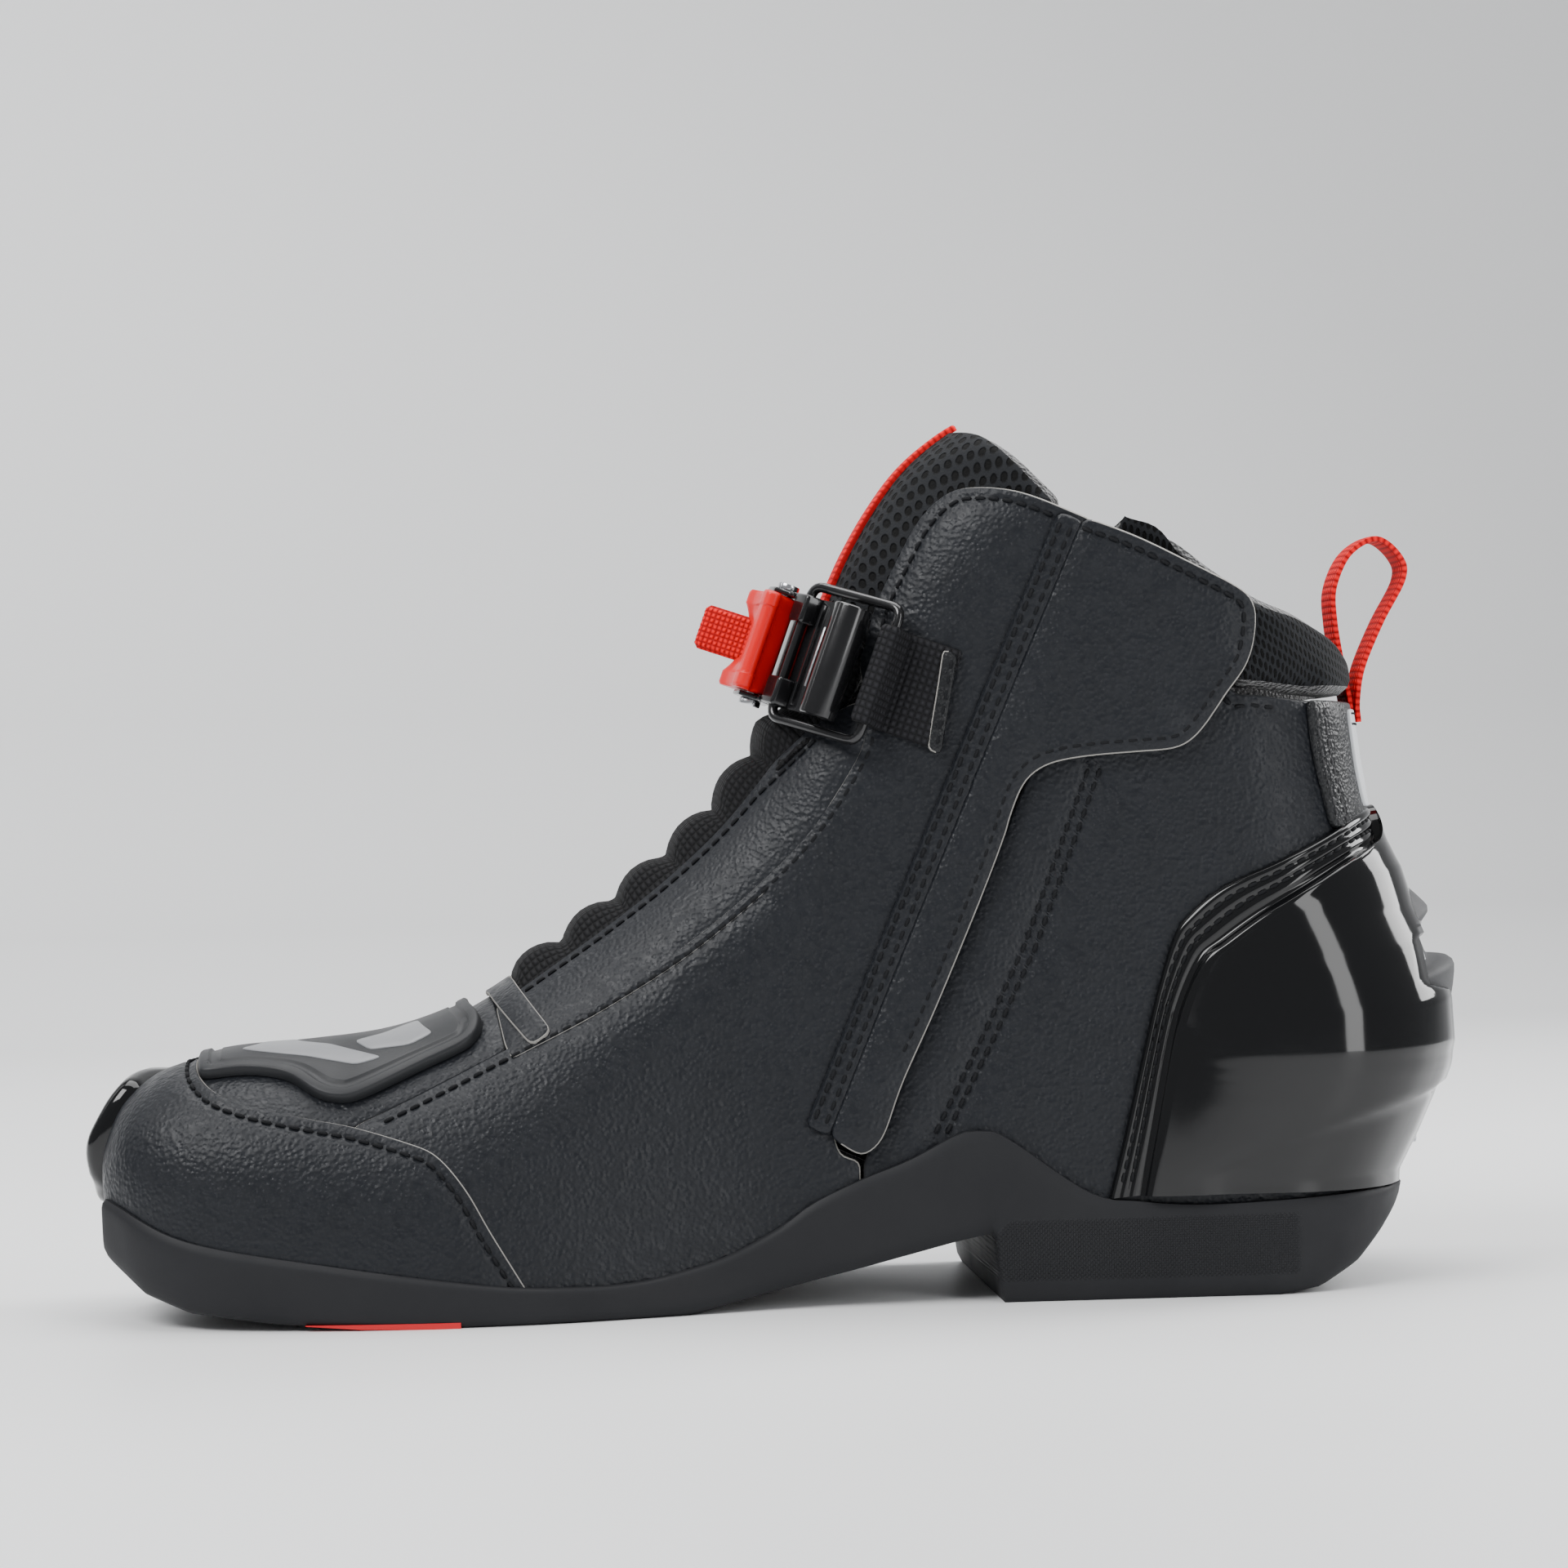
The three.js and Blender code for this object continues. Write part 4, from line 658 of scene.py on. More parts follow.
def honeycomb_look(name, size_mm):
    look = Look(name, (0.62, 0.64, 0.66), 0.35, Metallic=0.25)
    cell = look.remap(look.hexagons(size_mm), 0.42, 0.5, 0, 1)
    look.set("Base Color", look.blend(cell, (0.74, 0.76, 0.78), (0.30, 0.31, 0.33)))
    look.bump((cell, 0.15, 0.8))
    return look.material


def rubber_look(name, color=(0.013, 0.0135, 0.0155)):
    """Matte outsole rubber, with a patch of fine square grid on the heel's sides."""
    look = Look(name, color, 0.62, Specular_IOR_Level=0.24)
    parts = look.tree.nodes.new("ShaderNodeSeparateXYZ")
    look.tree.links.new(look.place, parts.inputs[0])
    x, z = parts.outputs[0], parts.outputs[2]
    edge_front = look.math("ADD", x, look.math("MULTIPLY", z, -0.9))
    zone = look.math("MULTIPLY", look.remap(edge_front, -0.046, -0.045, 0, 1),
                     look.remap(z, 0.0045, 0.0055, 0, 1))
    zone = look.math("MULTIPLY", zone, look.remap(z, 0.0185, 0.0175, 0, 1))
    zone = look.math("MULTIPLY", zone, look.remap(x, 0.036, 0.034, 0, 1))
    pitch = 2 * math.pi / (1.05 * MM)
    ribs = look.math("MULTIPLY", look.math("SINE", look.math("MULTIPLY", x, pitch)),
                     look.math("SINE", look.math("MULTIPLY", z, pitch)))
    patch = look.math("MULTIPLY", zone, look.remap(ribs, -0.3, 0.5, 0, 1))
    look.set("Roughness", look.remap(look.noise(20, 4), 0.3, 0.7, 0.52, 0.7))
    look.bump((look.noise(0.5, 3), 0.05, 0.4), (patch, 0.35, 0.9))
    return look.material


def floor_material():
    look = Look("studio_floor", (0.84, 0.845, 0.85), 0.42, Specular_IOR_Level=0.35)
    look.set("Roughness", look.remap(look.noise(300, 3), 0.3, 0.7, 0.38, 0.5))
    return look.material


def make_looks():
    return {
        "leather": leather_look("leather"),
        "leather_fine": leather_look("leather_smooth", (0.008, 0.0085, 0.0095), 0.33, 0.7),
        "raw_edge": plain_look("raw_leather_edge", (0.30, 0.29, 0.27), 0.9, 0.3, 0.2),
        "dark_edge": plain_look("folded_leather_edge", (0.016, 0.017, 0.019), 0.6, 0.3, 0.1),
        "thread": weave_look("thread", (0.017, 0.018, 0.021), 0.5, 0.1),
        "grey_thread": weave_look("grey_thread", (0.11, 0.11, 0.115), 0.5, 0.1),
        "elastic": weave_look("ribbed_elastic", (0.008, 0.008, 0.009), 1.5, 0.6),
        "tongue_mesh": mesh_look("tongue_mesh", 3.3),
        "collar_mesh": mesh_look("collar_mesh", 2.9),
        "lining": fuzzy_look("fuzzy_lining", (0.008, 0.008, 0.009)),
        "webbing": weave_look("black_webbing", (0.008, 0.008, 0.009), 1.7, 0.4),
        "red_webbing": weave_look("red_webbing", (0.66, 0.002, 0.006), 1.5, 0.35),
        "red_plastic": plain_look("red_plastic", (0.70, 0.002, 0.004), 0.36, 0.4, 0.03,
                                  Specular_IOR_Level=0.3),
        "red_rubber": plain_look("red_rubber", (0.60, 0.004, 0.01), 0.6),
        "rubber": rubber_look("outsole_rubber"),
        "gloss": plain_look("gloss_tpu", (0.0035, 0.0037, 0.0042), 0.08, 6, 0.02, 0.02,
                            Specular_IOR_Level=0.42),
        "matte": plain_look("matte_tpu", (0.014, 0.015, 0.017), 0.5, 0.35, 0.04, Specular_IOR_Level=0.3),
        "fin": plain_look("fin_tpu", (0.042, 0.043, 0.046), 0.62, 0.5, 0.12),
        "pad": plain_look("shift_pad_rubber", (0.012, 0.013, 0.015), 0.48, 0.35, 0.05,
                          Specular_IOR_Level=0.32),
        "pad_grey": plain_look("pad_inlay", (0.20, 0.205, 0.215), 0.4, 0.5, 0.02),
        "honeycomb": honeycomb_look("reflector", 1.6),
        "tape": plain_look("reflective_tape", (0.62, 0.64, 0.66), 0.38, 0.3, 0.03),
        "black_metal": plain_look("black_metal", (0.010, 0.010, 0.011), 0.22, 2, 0.02, 0.05, Metallic=0.4,
                                  Coat_Weight=0.4),
        "zip_metal": plain_look("zip_metal", (0.03, 0.03, 0.032), 0.35, 1, 0.02, Metallic=0.8),
        "chrome": plain_look("steel", (0.62, 0.63, 0.65), 0.2, 1, 0.02, Metallic=1.0),
        "board": plain_look("fibre_board", (0.30, 0.25, 0.17), 0.9, 0.8, 0.2),
        "foam": weave_look("sock_cloth", (0.03, 0.03, 0.033), 0.9, 0.2),
    }


# ------------------------------------------------------------------ seams and edges, in the side view, mm
TOE_SEAM = [
    (-203, 68), (-207.5, 57), (-204.5, 51.3), (-195.8, 47.6), (-181.7, 44.5), (-172.9, 42.8), (-160.7, 39.2),
    (-154.6, 36.4), (-148.6, 29.3), (-143.6, 20.3), (-136.8, 8.8), (-134, 4),
]
VAMP_SIDE = [(-172.9, 43), (-160.5, 48.3), (-149.8, 53.2), (-139.1, 58.3)]
FACING_LINE = [(-139.1, 58.3), (-117.4, 69.1), (-95.4, 82.9), (-73.3, 102.1), (-60, 120.7), (-57.1, 129.7)]
FACING_EDGE = [(-141.5, 69.4), (-120.2, 83.4), (-107.2, 93.6), (-96, 103), (-84.8, 113.2), (-69.9, 127.4)]
FRONT_TOP = [
    (-57, 145.2), (-54.4, 154.2), (-49.6, 164.1), (-44, 173.9), (-38.5, 179.2), (-33.2, 180.9),
    (-22.5, 179.5),
    (-8.3, 173.5),
]
COLLAR_TOP = [(-3, 172), (9.3, 168.5), (19, 161), (29.3, 154.5), (39.4, 150.8), (49.8, 144.7), (56.5, 136.4)]
REAR_TOP = [(4, 167.7), (13, 154), (22.6, 134.8), (27.4, 133.3), (40.3, 131.8)]
BOARD_LINE = [
    (-229, 20), (-222, 16.5), (-208, 11.8), (-180, 6.4), (-150, 3.5), (-122, 3.2), (-95, 5.5), (-70, 10.5),
    (-40, 16), (-10, 18), (30, 18.3), (64, 18.5),
]
FLAP_HINGE = [(-69.5, 38), (-10, 173)]
FLAP_EDGE = [
    (-61.4, 32.9), (-56.8, 36.7), (-51.9, 48.9), (-44.2, 64.8), (-35.5, 84.2), (-28.8, 100.2), (-25.2, 110),
    (-22.5, 115.4), (-17.4, 118.8), (-8.2, 120.4), (2.7, 121.1), (10.9, 121.8), (15.8, 125.3), (21.5, 133.4),
    (26.2, 140.5), (27.9, 148.6), (27.3, 154.1), (23.2, 157.8), (13.2, 163.4), (2.4, 169), (-8.5, 173.4),
]
ZIP_LOW, ZIP_HIGH = np.array([-62.5, 36]), np.array([-1, 170])
ZIP_SLOT, ZIP_COVER = 5.5, 3.4
CUP_EDGE = [
    (-6.8, 22.4), (-3.5, 34.5), (1.1, 52.6), (4.9, 67), (8.9, 79.5), (12.6, 84.8), (20.3, 90.9), (32, 96),
    (44.8, 101.9), (53.7, 106.3), (61, 109.2),
]
CUP_BULGE_EDGE = [
    (0.2, 23), (2.5, 34.5), (8, 59.8), (13.8, 74), (19.6, 79.2), (31.2, 87), (48.4, 96.4), (64, 100.5),
]
STAY_FRONT = [(40.3, 131.8), (41.5, 120.3), (44, 109.3), (45.7, 102.8)]
MEDIAL, LATERAL = -1, 1


def board(side, x0, x1, over_back=False):
    line = spline(BOARD_LINE, 2)
    part = line[(line[:, 0] > min(x0, x1)) & (line[:, 0] < max(x0, x1))]
    return on_skin(part if x0 < x1 else part[::-1], side, over_back)


def zip_side(offset, start=-0.02, end=1.0, count=60):
    way = ZIP_HIGH - ZIP_LOW
    out = np.array([way[1], -way[0]]) / np.linalg.norm(way)
    return ZIP_LOW + way * np.linspace(start, end, count)[:, None] + out * offset


def groove(run, depth=0.3, width=0.7):
    """A dip along a run of surface places, as a height function, and the places that show it."""
    points = skin(*resample(run, 2.0, closed=False).T)

    def height(p, _):
        return -depth * np.exp(-(run_distance(p, points) / width) ** 2)

    rows = []
    dense = resample(run, 1.6, closed=False)
    position = skin(*dense.T)
    way = unit(np.gradient(position, axis=0))
    across = np.cross(normals(*dense.T), way)
    for offset in (-1.5 * width, -0.7 * width, 0, 0.7 * width, 1.5 * width):
        rows.append(jacobian_move(dense, across * offset))
    return height, np.vstack(rows)


def with_grooves(runs, depth=0.6, width=0.85):
    made = [groove(run, depth, width) for run in runs]

    def height(p, places):
        return sum(g[0](p, places) for g in made)

    return height, np.vstack([g[1] for g in made])


def stitched_panel(name, outline, seams, looks, thread="thread", edge="dark_edge", finish="leather",
                   lift=-1.2,
                   thickness=1.3, pitch=3.1, **more):
    """A panel with threads sunk in a shallow groove along each seam."""
    height, extra = with_grooves(seams)
    obj = panel(name, outline, [looks[finish], looks[edge]], lift=lift, thickness=thickness, height=height,
                extra=extra, **more)
    stitches(f"{name}_thread", seams, looks[thread], height=lift + thickness - 0.25, pitch=pitch,
             body=more.get("body", "upper"))
    return obj


def make_upper(looks):
    toe = spline(TOE_SEAM)
    toe_medial, toe_lateral = on_skin(toe, MEDIAL), on_skin(toe, LATERAL)
    tip = np.array([(0.05, 0.33), (0.02, 0.12), (0.02, -0.12), (0.05, -0.33)])
    outline = np.vstack([
        toe_medial[::-1], toe_lateral, board(LATERAL, -134, -224), tip, board(MEDIAL, -224, -134)])
    seam = beside(toe[4:-2], 2.4)
    seams = [np.vstack([on_skin(seam, MEDIAL)[::-1], on_skin(seam, LATERAL)])]
    stitched_panel("toe_cap_leather", outline, seams, looks, edge="raw_edge", lift=-1.2, thickness=2.5,
                   replaces=("toe_cap",), corner=2)

    vamp = spline(VAMP_SIDE)
    head = toe[:np.argmin(np.hypot(*(toe - (-172.9, 42.8)).T))]
    under = beside(head, 3)
    edge_up = straight([(-139.1, 58.3), (-141.5, 70), (-147, 90)])
    for_side = {side: np.vstack([on_skin(under, side), on_skin(vamp, side), on_skin(edge_up, side)])
                for side in (MEDIAL, LATERAL)}
    outline = np.vstack([for_side[MEDIAL], for_side[LATERAL][::-1]])
    panel("vamp_leather", outline, [looks["leather"], looks["dark_edge"]], lift=-1.2, thickness=1.2,
          replaces=("vamp",), corner=1)

    facing = spline(FACING_LINE)
    top_edge = spline(FACING_EDGE)
    end = straight([(-57.1, 129.7), (-58.3, 134), (-63, 132), (-69.9, 127.4)])
    tail = straight([(-141.5, 69.4), (-139.1, 58.3)])
    quarter_start = np.vstack([vamp, facing])
    front = spline(FRONT_TOP)
    for side, word in ((MEDIAL, "medial"), (LATERAL, "lateral")):
        low_edge = beside(facing, 2.5)
        outline = apart(np.vstack([low_edge, end[1:], top_edge[::-1], tail[1:-1]]), side)
        inner = apart(beside(top_edge, 2.6), side, 0.125)
        stitched_panel(f"facing_strip_{word}", outline, [inner], looks, edge="raw_edge", lift=-0.9,
                       thickness=1.5,
                       replaces=(f"facing_{word}",), corner=2)
        make_quarters(looks, side, word, toe, quarter_start, front)

    bar = straight([(-143.4, 70.2), (-137.6, 73.6), (-128.6, 61.8), (-133.2, 58.6), (-143.4, 70.2)])
    for side, word in ((MEDIAL, "medial"), (LATERAL, "lateral")):
        panel(f"throat_tab_{word}", on_skin(bar[:-1], side), [looks["leather"], looks["raw_edge"]], lift=0.5,
              thickness=1.1, roll=0.4, corner=2)


def make_quarters(looks, side, word, toe, start, front):
    foot = toe[np.argmin(np.hypot(*(toe - (-172.9, 42.8)).T)):]
    under_toe = beside(foot, 4)
    name = f"quarter_{word}_front"
    if side == MEDIAL:
        rear = np.vstack([zip_side(-ZIP_SLOT, 1.0, 0.0, 60),
                          straight([(-66, 33.2), (-61.6, 32.2), (-62, 14)], 3)])
    else:
        rear = spline([(-8.8, 173.6), (-33, 115), (-62, 45), (-70, 10)])
    rise = straight([(-57.1, 129.7), (-58.3, 143), (-57, 145.2)])
    outline = np.vstack([
        on_skin(start, side), on_skin(rise[1:], side), on_skin(front[1:], side), on_skin(rear, side),
        board(side, rear[-1, 0], -132), on_skin(under_toe[::-1], side)])
    seams = [
        on_skin(beside(start[6:], 1.9), side),
        on_skin(beside(front[2:-3], 2.6), side),
    ]
    if side == LATERAL:
        seams += [on_skin(beside(rear[3:-6], d), side) for d in (2.2, 4.6)]
    stitched_panel(name + "_leather", outline, seams, looks, edge="raw_edge", lift=-1.2, thickness=1.9,
                   replaces=(name,), corner=2)

    top = spline(REAR_TOP)
    if side == MEDIAL:
        edge = np.vstack([straight([(-61.4, 14), (-60.9, 32)], 3), zip_side(ZIP_COVER, 0.0, 1.0, 60)])
    else:
        edge = spline([(-62, 45), (-33, 115), (-8.8, 173.6)])
        edge = np.vstack([[(-68, 10)], edge])
    s_top = locate(55, 132)[0][0]
    s_low = locate(64, 24)[0][0]
    back = np.stack([np.linspace(s_top, s_low, 90), np.full(90, float(side))], 1)
    upper_edge = np.vstack([top, [(48, 131.8)]])
    outline = np.vstack([
        on_skin(edge, side), on_skin(upper_edge, side), back, board(side, 62, edge[0, 0])])
    seams = [on_skin(beside(top[18:-6], 2.4), side)]
    if side == MEDIAL:
        seams += [on_skin(straight([(-8.6, 118), (-16.2, 98.1), (-23.9, 78.5), (-33.5, 59.1),
                                    (-45.1, 37.2)]) + (d, 0), side)
                  for d in (0, 2.6)]
    stitched_panel(f"quarter_{word}_rear_leather", outline, seams, looks, lift=-1.2, thickness=1.2,
                   replaces=(f"quarter_{word}_rear",), corner=2)


FLAP_LIFT, FLAP_THICKNESS = 1.35, 1.7


def make_flap(looks):
    hinge = straight(FLAP_HINGE)
    strip = np.vstack([beside(hinge, -4.6), beside(hinge, 1.6)[::-1]])
    seams = [on_skin(beside(hinge[2:-2], d), MEDIAL) for d in (-3.2, -0.6)]
    height, extra = with_grooves(seams)
    panel("flap_fold_strip", on_skin(strip, MEDIAL), [looks["leather"]], lift=0.2, thickness=2.4, roll=1.0,
          height=height, extra=extra, corner=2, replaces=("flap_strip",))
    stitches("flap_fold_thread", seams, looks["thread"], height=2.35)

    edge = spline(FLAP_EDGE)
    outline = on_skin(np.vstack([beside(hinge, 1.0)[::-1], edge]), MEDIAL)
    inner = on_skin(beside(edge[24:], -2.6), MEDIAL)
    height, extra = with_grooves([inner])
    panel("flap_leather", outline, [looks["leather"], looks["raw_edge"]], lift=FLAP_LIFT,
          thickness=FLAP_THICKNESS, height=height, extra=extra, corner=3, body="flap",
          plain=lambda p: run_distance(p[:, [0, 2]], hinge) < 4,
          replaces=("closure_flap",))
    stitches("flap_edge_thread", [inner], looks["thread"],
             height=FLAP_LIFT + FLAP_THICKNESS - 0.25, body="flap")
    patch = straight([(2, 156), (8, 140), (4, 126), (12, 127), (20, 138), (22, 148), (18, 154),
                      (2, 156)])[:-1]
    panel("flap_hook_patch", on_skin(patch, MEDIAL), [looks["lining"]], lift=0.95, thickness=0.4, roll=0.2,
          body="flap", slot="hook_and_loop", replaces=("hook_patch",))
    panel("flap_loop_patch", on_skin(patch, MEDIAL), [looks["lining"]], lift=0.25, thickness=0.45, roll=0.2,
          slot="hook_and_loop", replaces=("loop_patch",))


# ------------------------------------------------------------------ instep, tongue and collar
STRAP_MIDDLE = np.array([-35.174, 0, 131.857])
STRAP_OUT = np.array([-0.937889, 0, 0.346936])
STRAP_SIDE = np.array([0, -1.0, 0])
STRAP_UP = np.array([0.346936, 0, 0.937889])


def strap_height(p):
    return (p - STRAP_MIDDLE) @ STRAP_UP


def make_stretch(looks):
    edge = beside(spline(FACING_EDGE), 2.0)
    rise = straight([(-67.5, 127), (-64, 131), (-59.9, 137.5), (-58.9, 146), (-62.5, 149.4)])
    side = np.vstack([edge, rise])
    outline = np.vstack([apart(side, MEDIAL, 0.12), apart(side, LATERAL, 0.12)[::-1]])
    facing_edge = spline(FACING_EDGE)
    borders = [skin(*apart(facing_edge, which).T) for which in (MEDIAL, LATERAL)]
    humps, hump_start = 15.4, 3.0

    def height(p, places):
        along = arc_uv(*places.T)[:, 1] - arc_uv(np.array([9.0]), np.array([0.0]))[0, 1] - hump_start
        wave = np.abs(np.sin(np.pi * along / humps)) ** 0.62
        edge_fade = smooth(np.minimum(run_distance(p, borders[0]), run_distance(p, borders[1])) / 6)
        under_strap = smooth((np.abs(strap_height(p)) - 12) / 6)
        end_fade = smooth((along + 2) / 6)
        return edge_fade * end_fade * wave * (1.3 + 3.0 * under_strap) - 0.6

    panel("instep_elastic", outline, [looks["elastic"]], lift=-1.7, thickness=1.9, roll=0.8, spacing=1.5,
          height=height, corner=1, slot="elastic", replaces=("stretch_panel",))


def make_tongue(looks):
    edge = beside(spline(FRONT_TOP), 2.2)
    start = straight([(-64, 149.6), (-60, 147.2), (edge[0, 0], edge[0, 1])])
    edge = edge[edge[:, 0] < -15]
    finish = straight([(edge[-1, 0], edge[-1, 1]), (-13.5, 177.4), (-21.4, 186.8), (-27.6, 193.6),
                       (-31, 195.2)], 2)
    side = np.vstack([start[:-1], edge, finish[1:]])
    outline = np.vstack([on_skin(side, MEDIAL), on_skin(side, LATERAL)[::-1]])
    front = spline(FRONT_TOP)
    border = [skin(*on_skin(front, MEDIAL).T), skin(*on_skin(front, LATERAL).T)]

    def height(p, places):
        away = np.minimum(run_distance(p, border[0]), run_distance(p, border[1]))
        covered = smooth((away - 1.5) / 9)
        return -1.7 + 3.0 * covered

    obj = panel("tongue_padding", outline, [looks["tongue_mesh"], looks["lining"]], lift=-6.2,
                thickness=6.2, roll=3.0,
                spacing=2.2, height=height, corner=3, slot="spacer_mesh", replaces=("tongue",))

    collar_top = spline(COLLAR_TOP)
    low = beside(spline(REAR_TOP), -1.8)
    low = low[low[:, 0] < 52]
    low = np.vstack([low, straight([(low[-1, 0], low[-1, 1]), (55.3, low[-1, 1] - 0.3)])[1:]])
    medial = [on_skin(run, MEDIAL) for run in (collar_top, low)]
    lateral = [on_skin(run, LATERAL, True) for run in (collar_top, low)]
    start = straight([(low[0, 0], low[0, 1]), (-1.2, 170.3), (collar_top[0, 0], collar_top[0, 1])])
    outline = np.vstack([
        on_skin(start, MEDIAL)[:-1], medial[0], lateral[0][::-1], on_skin(start, LATERAL, True)[::-1][1:],
        lateral[1][1:], medial[1][::-1][:-1]])
    rear = spline(REAR_TOP)
    rim = [skin(*on_skin(rear, MEDIAL).T), skin(*on_skin(rear, LATERAL, True).T)]

    def puff(p, places):
        away = np.minimum(run_distance(p, rim[0]), run_distance(p, rim[1]))
        back = smooth((np.minimum(p[:, 0], 60) - 38) / 14)
        return -1.6 + smooth((away - 1) / 8) * (3.2 - 1.0 * back) + 1.6 * back

    obj = panel("collar_padding", outline, [looks["collar_mesh"], looks["lining"]], lift=-6.2,
                thickness=6.2, roll=3.0,
                spacing=2.2, height=puff, corner=3, slot="spacer_mesh", replaces=("collar_pad",))


def swept(name, rings, uv, material, body, replaces=(), closed=False, angle=40):
    """Rings of places joined one after another, with flat ends when the run is not closed."""
    rings = np.asarray(rings, float)
    count, sides = rings.shape[:2]
    faces = [(i * sides + j, i * sides + (j + 1) % sides, (i + 1) % count * sides + (j + 1) % sides,
              (i + 1) % count * sides + j) for i in range(count if closed else count - 1) for j in range(sides)]
    if not closed:
        faces += [list(range(sides))[::-1], [(count - 1) * sides + j for j in range(sides)]]
    obj = new_object(name, rings.reshape(-1, 3), faces, [material], uv=uv)
    mesh_fix(obj)
    sharpen(obj, angle)
    finish_piece(obj, body, replaces)
    return obj


def tube(name, points, radii, material, body, sides=10, replaces=(), closed=False):
    """A round or oval cord through points in mm. radii is one number or (along normal, along binormal)."""
    points = np.asarray(points, float)
    way = unit(np.roll(points, -1, 0) - np.roll(points, 1, 0) if closed else np.gradient(points, axis=0))
    guide = np.array([0.0, 1.0, 0.0])
    across = unit(np.cross(way, guide))
    out = np.cross(across, way)
    a, b = radii if isinstance(radii, tuple) else (radii, radii)
    turns = np.arange(sides) * 2 * np.pi / sides
    rings = [p + a * np.cos(turns)[:, None] * u + b * np.sin(turns)[:, None] * v
             for p, u, v in zip(points, across, out)]
    path = np.concatenate([[0], np.cumsum(np.linalg.norm(np.diff(points, axis=0), axis=1))])
    uv = np.stack([np.tile(turns * (a + b) / 2, len(points)), np.repeat(path, sides)], 1)
    return swept(name, rings, uv, material, body, replaces, closed)


def make_tongue_webbing(looks):
    """A band of red webbing, sewn flat up the middle of the tongue."""
    s = np.linspace(17.2, 22.45, 60)
    half = np.full(60, 0.03)
    outline = np.vstack([np.stack([s, -half], 1), np.stack([s, half], 1)[::-1]])
    panel("tongue_webbing", outline, [looks["red_webbing"]], lift=0.9, thickness=1.5, roll=0.5, spacing=2,
          corner=1, slot="red_webbing")


# ------------------------------------------------------------------ sole
MEDIAL_SOLE_LINE = [
    (-232, 30), (-223.4, 26.4), (-208.4, 19.4), (-178.8, 14), (-143.8, 8.8), (-126.2, 7.6), (-112, 7.9),
    (-99.5, 10.2), (-90.5, 12.9), (-79.7, 18.2), (-72.5, 23), (-61.6, 28), (-50.7, 32.1), (-39.8, 37.5),
    (-34.4, 37.9), (-29.1, 36.3), (-11.3, 23.9), (0, 21.6), (16.4, 20.5), (46, 21.6), (90, 23.1),
]
LATERAL_SOLE_LINE = [
    (-232, 30), (-223.4, 26.4), (-208.4, 19.4), (-178.8, 14), (-143.8, 10.5), (-112, 11), (-80, 15),
    (-50, 20),
    (-20, 22.5), (16.4, 21.5), (46, 21.6), (90, 23.1),
]
GROUND_LINE = [
    (-236, 25), (-225.5, 14), (-218, 7.6), (-208.2, 3.9), (-190, 1.6), (-172, 0.3), (-160, 0), (-100, 0),
    (-81.8, 4.1), (-63.8, 8.1), (-40.4, 13.9), (-32.5, 15.5), (-31, 0), (31, 0), (40, 1.3), (49.5, 6),
    (56, 12.2), (61, 18), (90, 19),
]
SOLE_FRONT, RAND = -226.0, 2.8


def line_at(points, x):
    p = np.asarray(points, float)
    return np.interp(x, p[:, 0], p[:, 1])


def half_width(x, z, side):
    """The upper's half-width at places in the side view, out to its closed ends."""
    s, t = locate(x, z)
    return skin(s, beta_of(t, side))[:, 1]


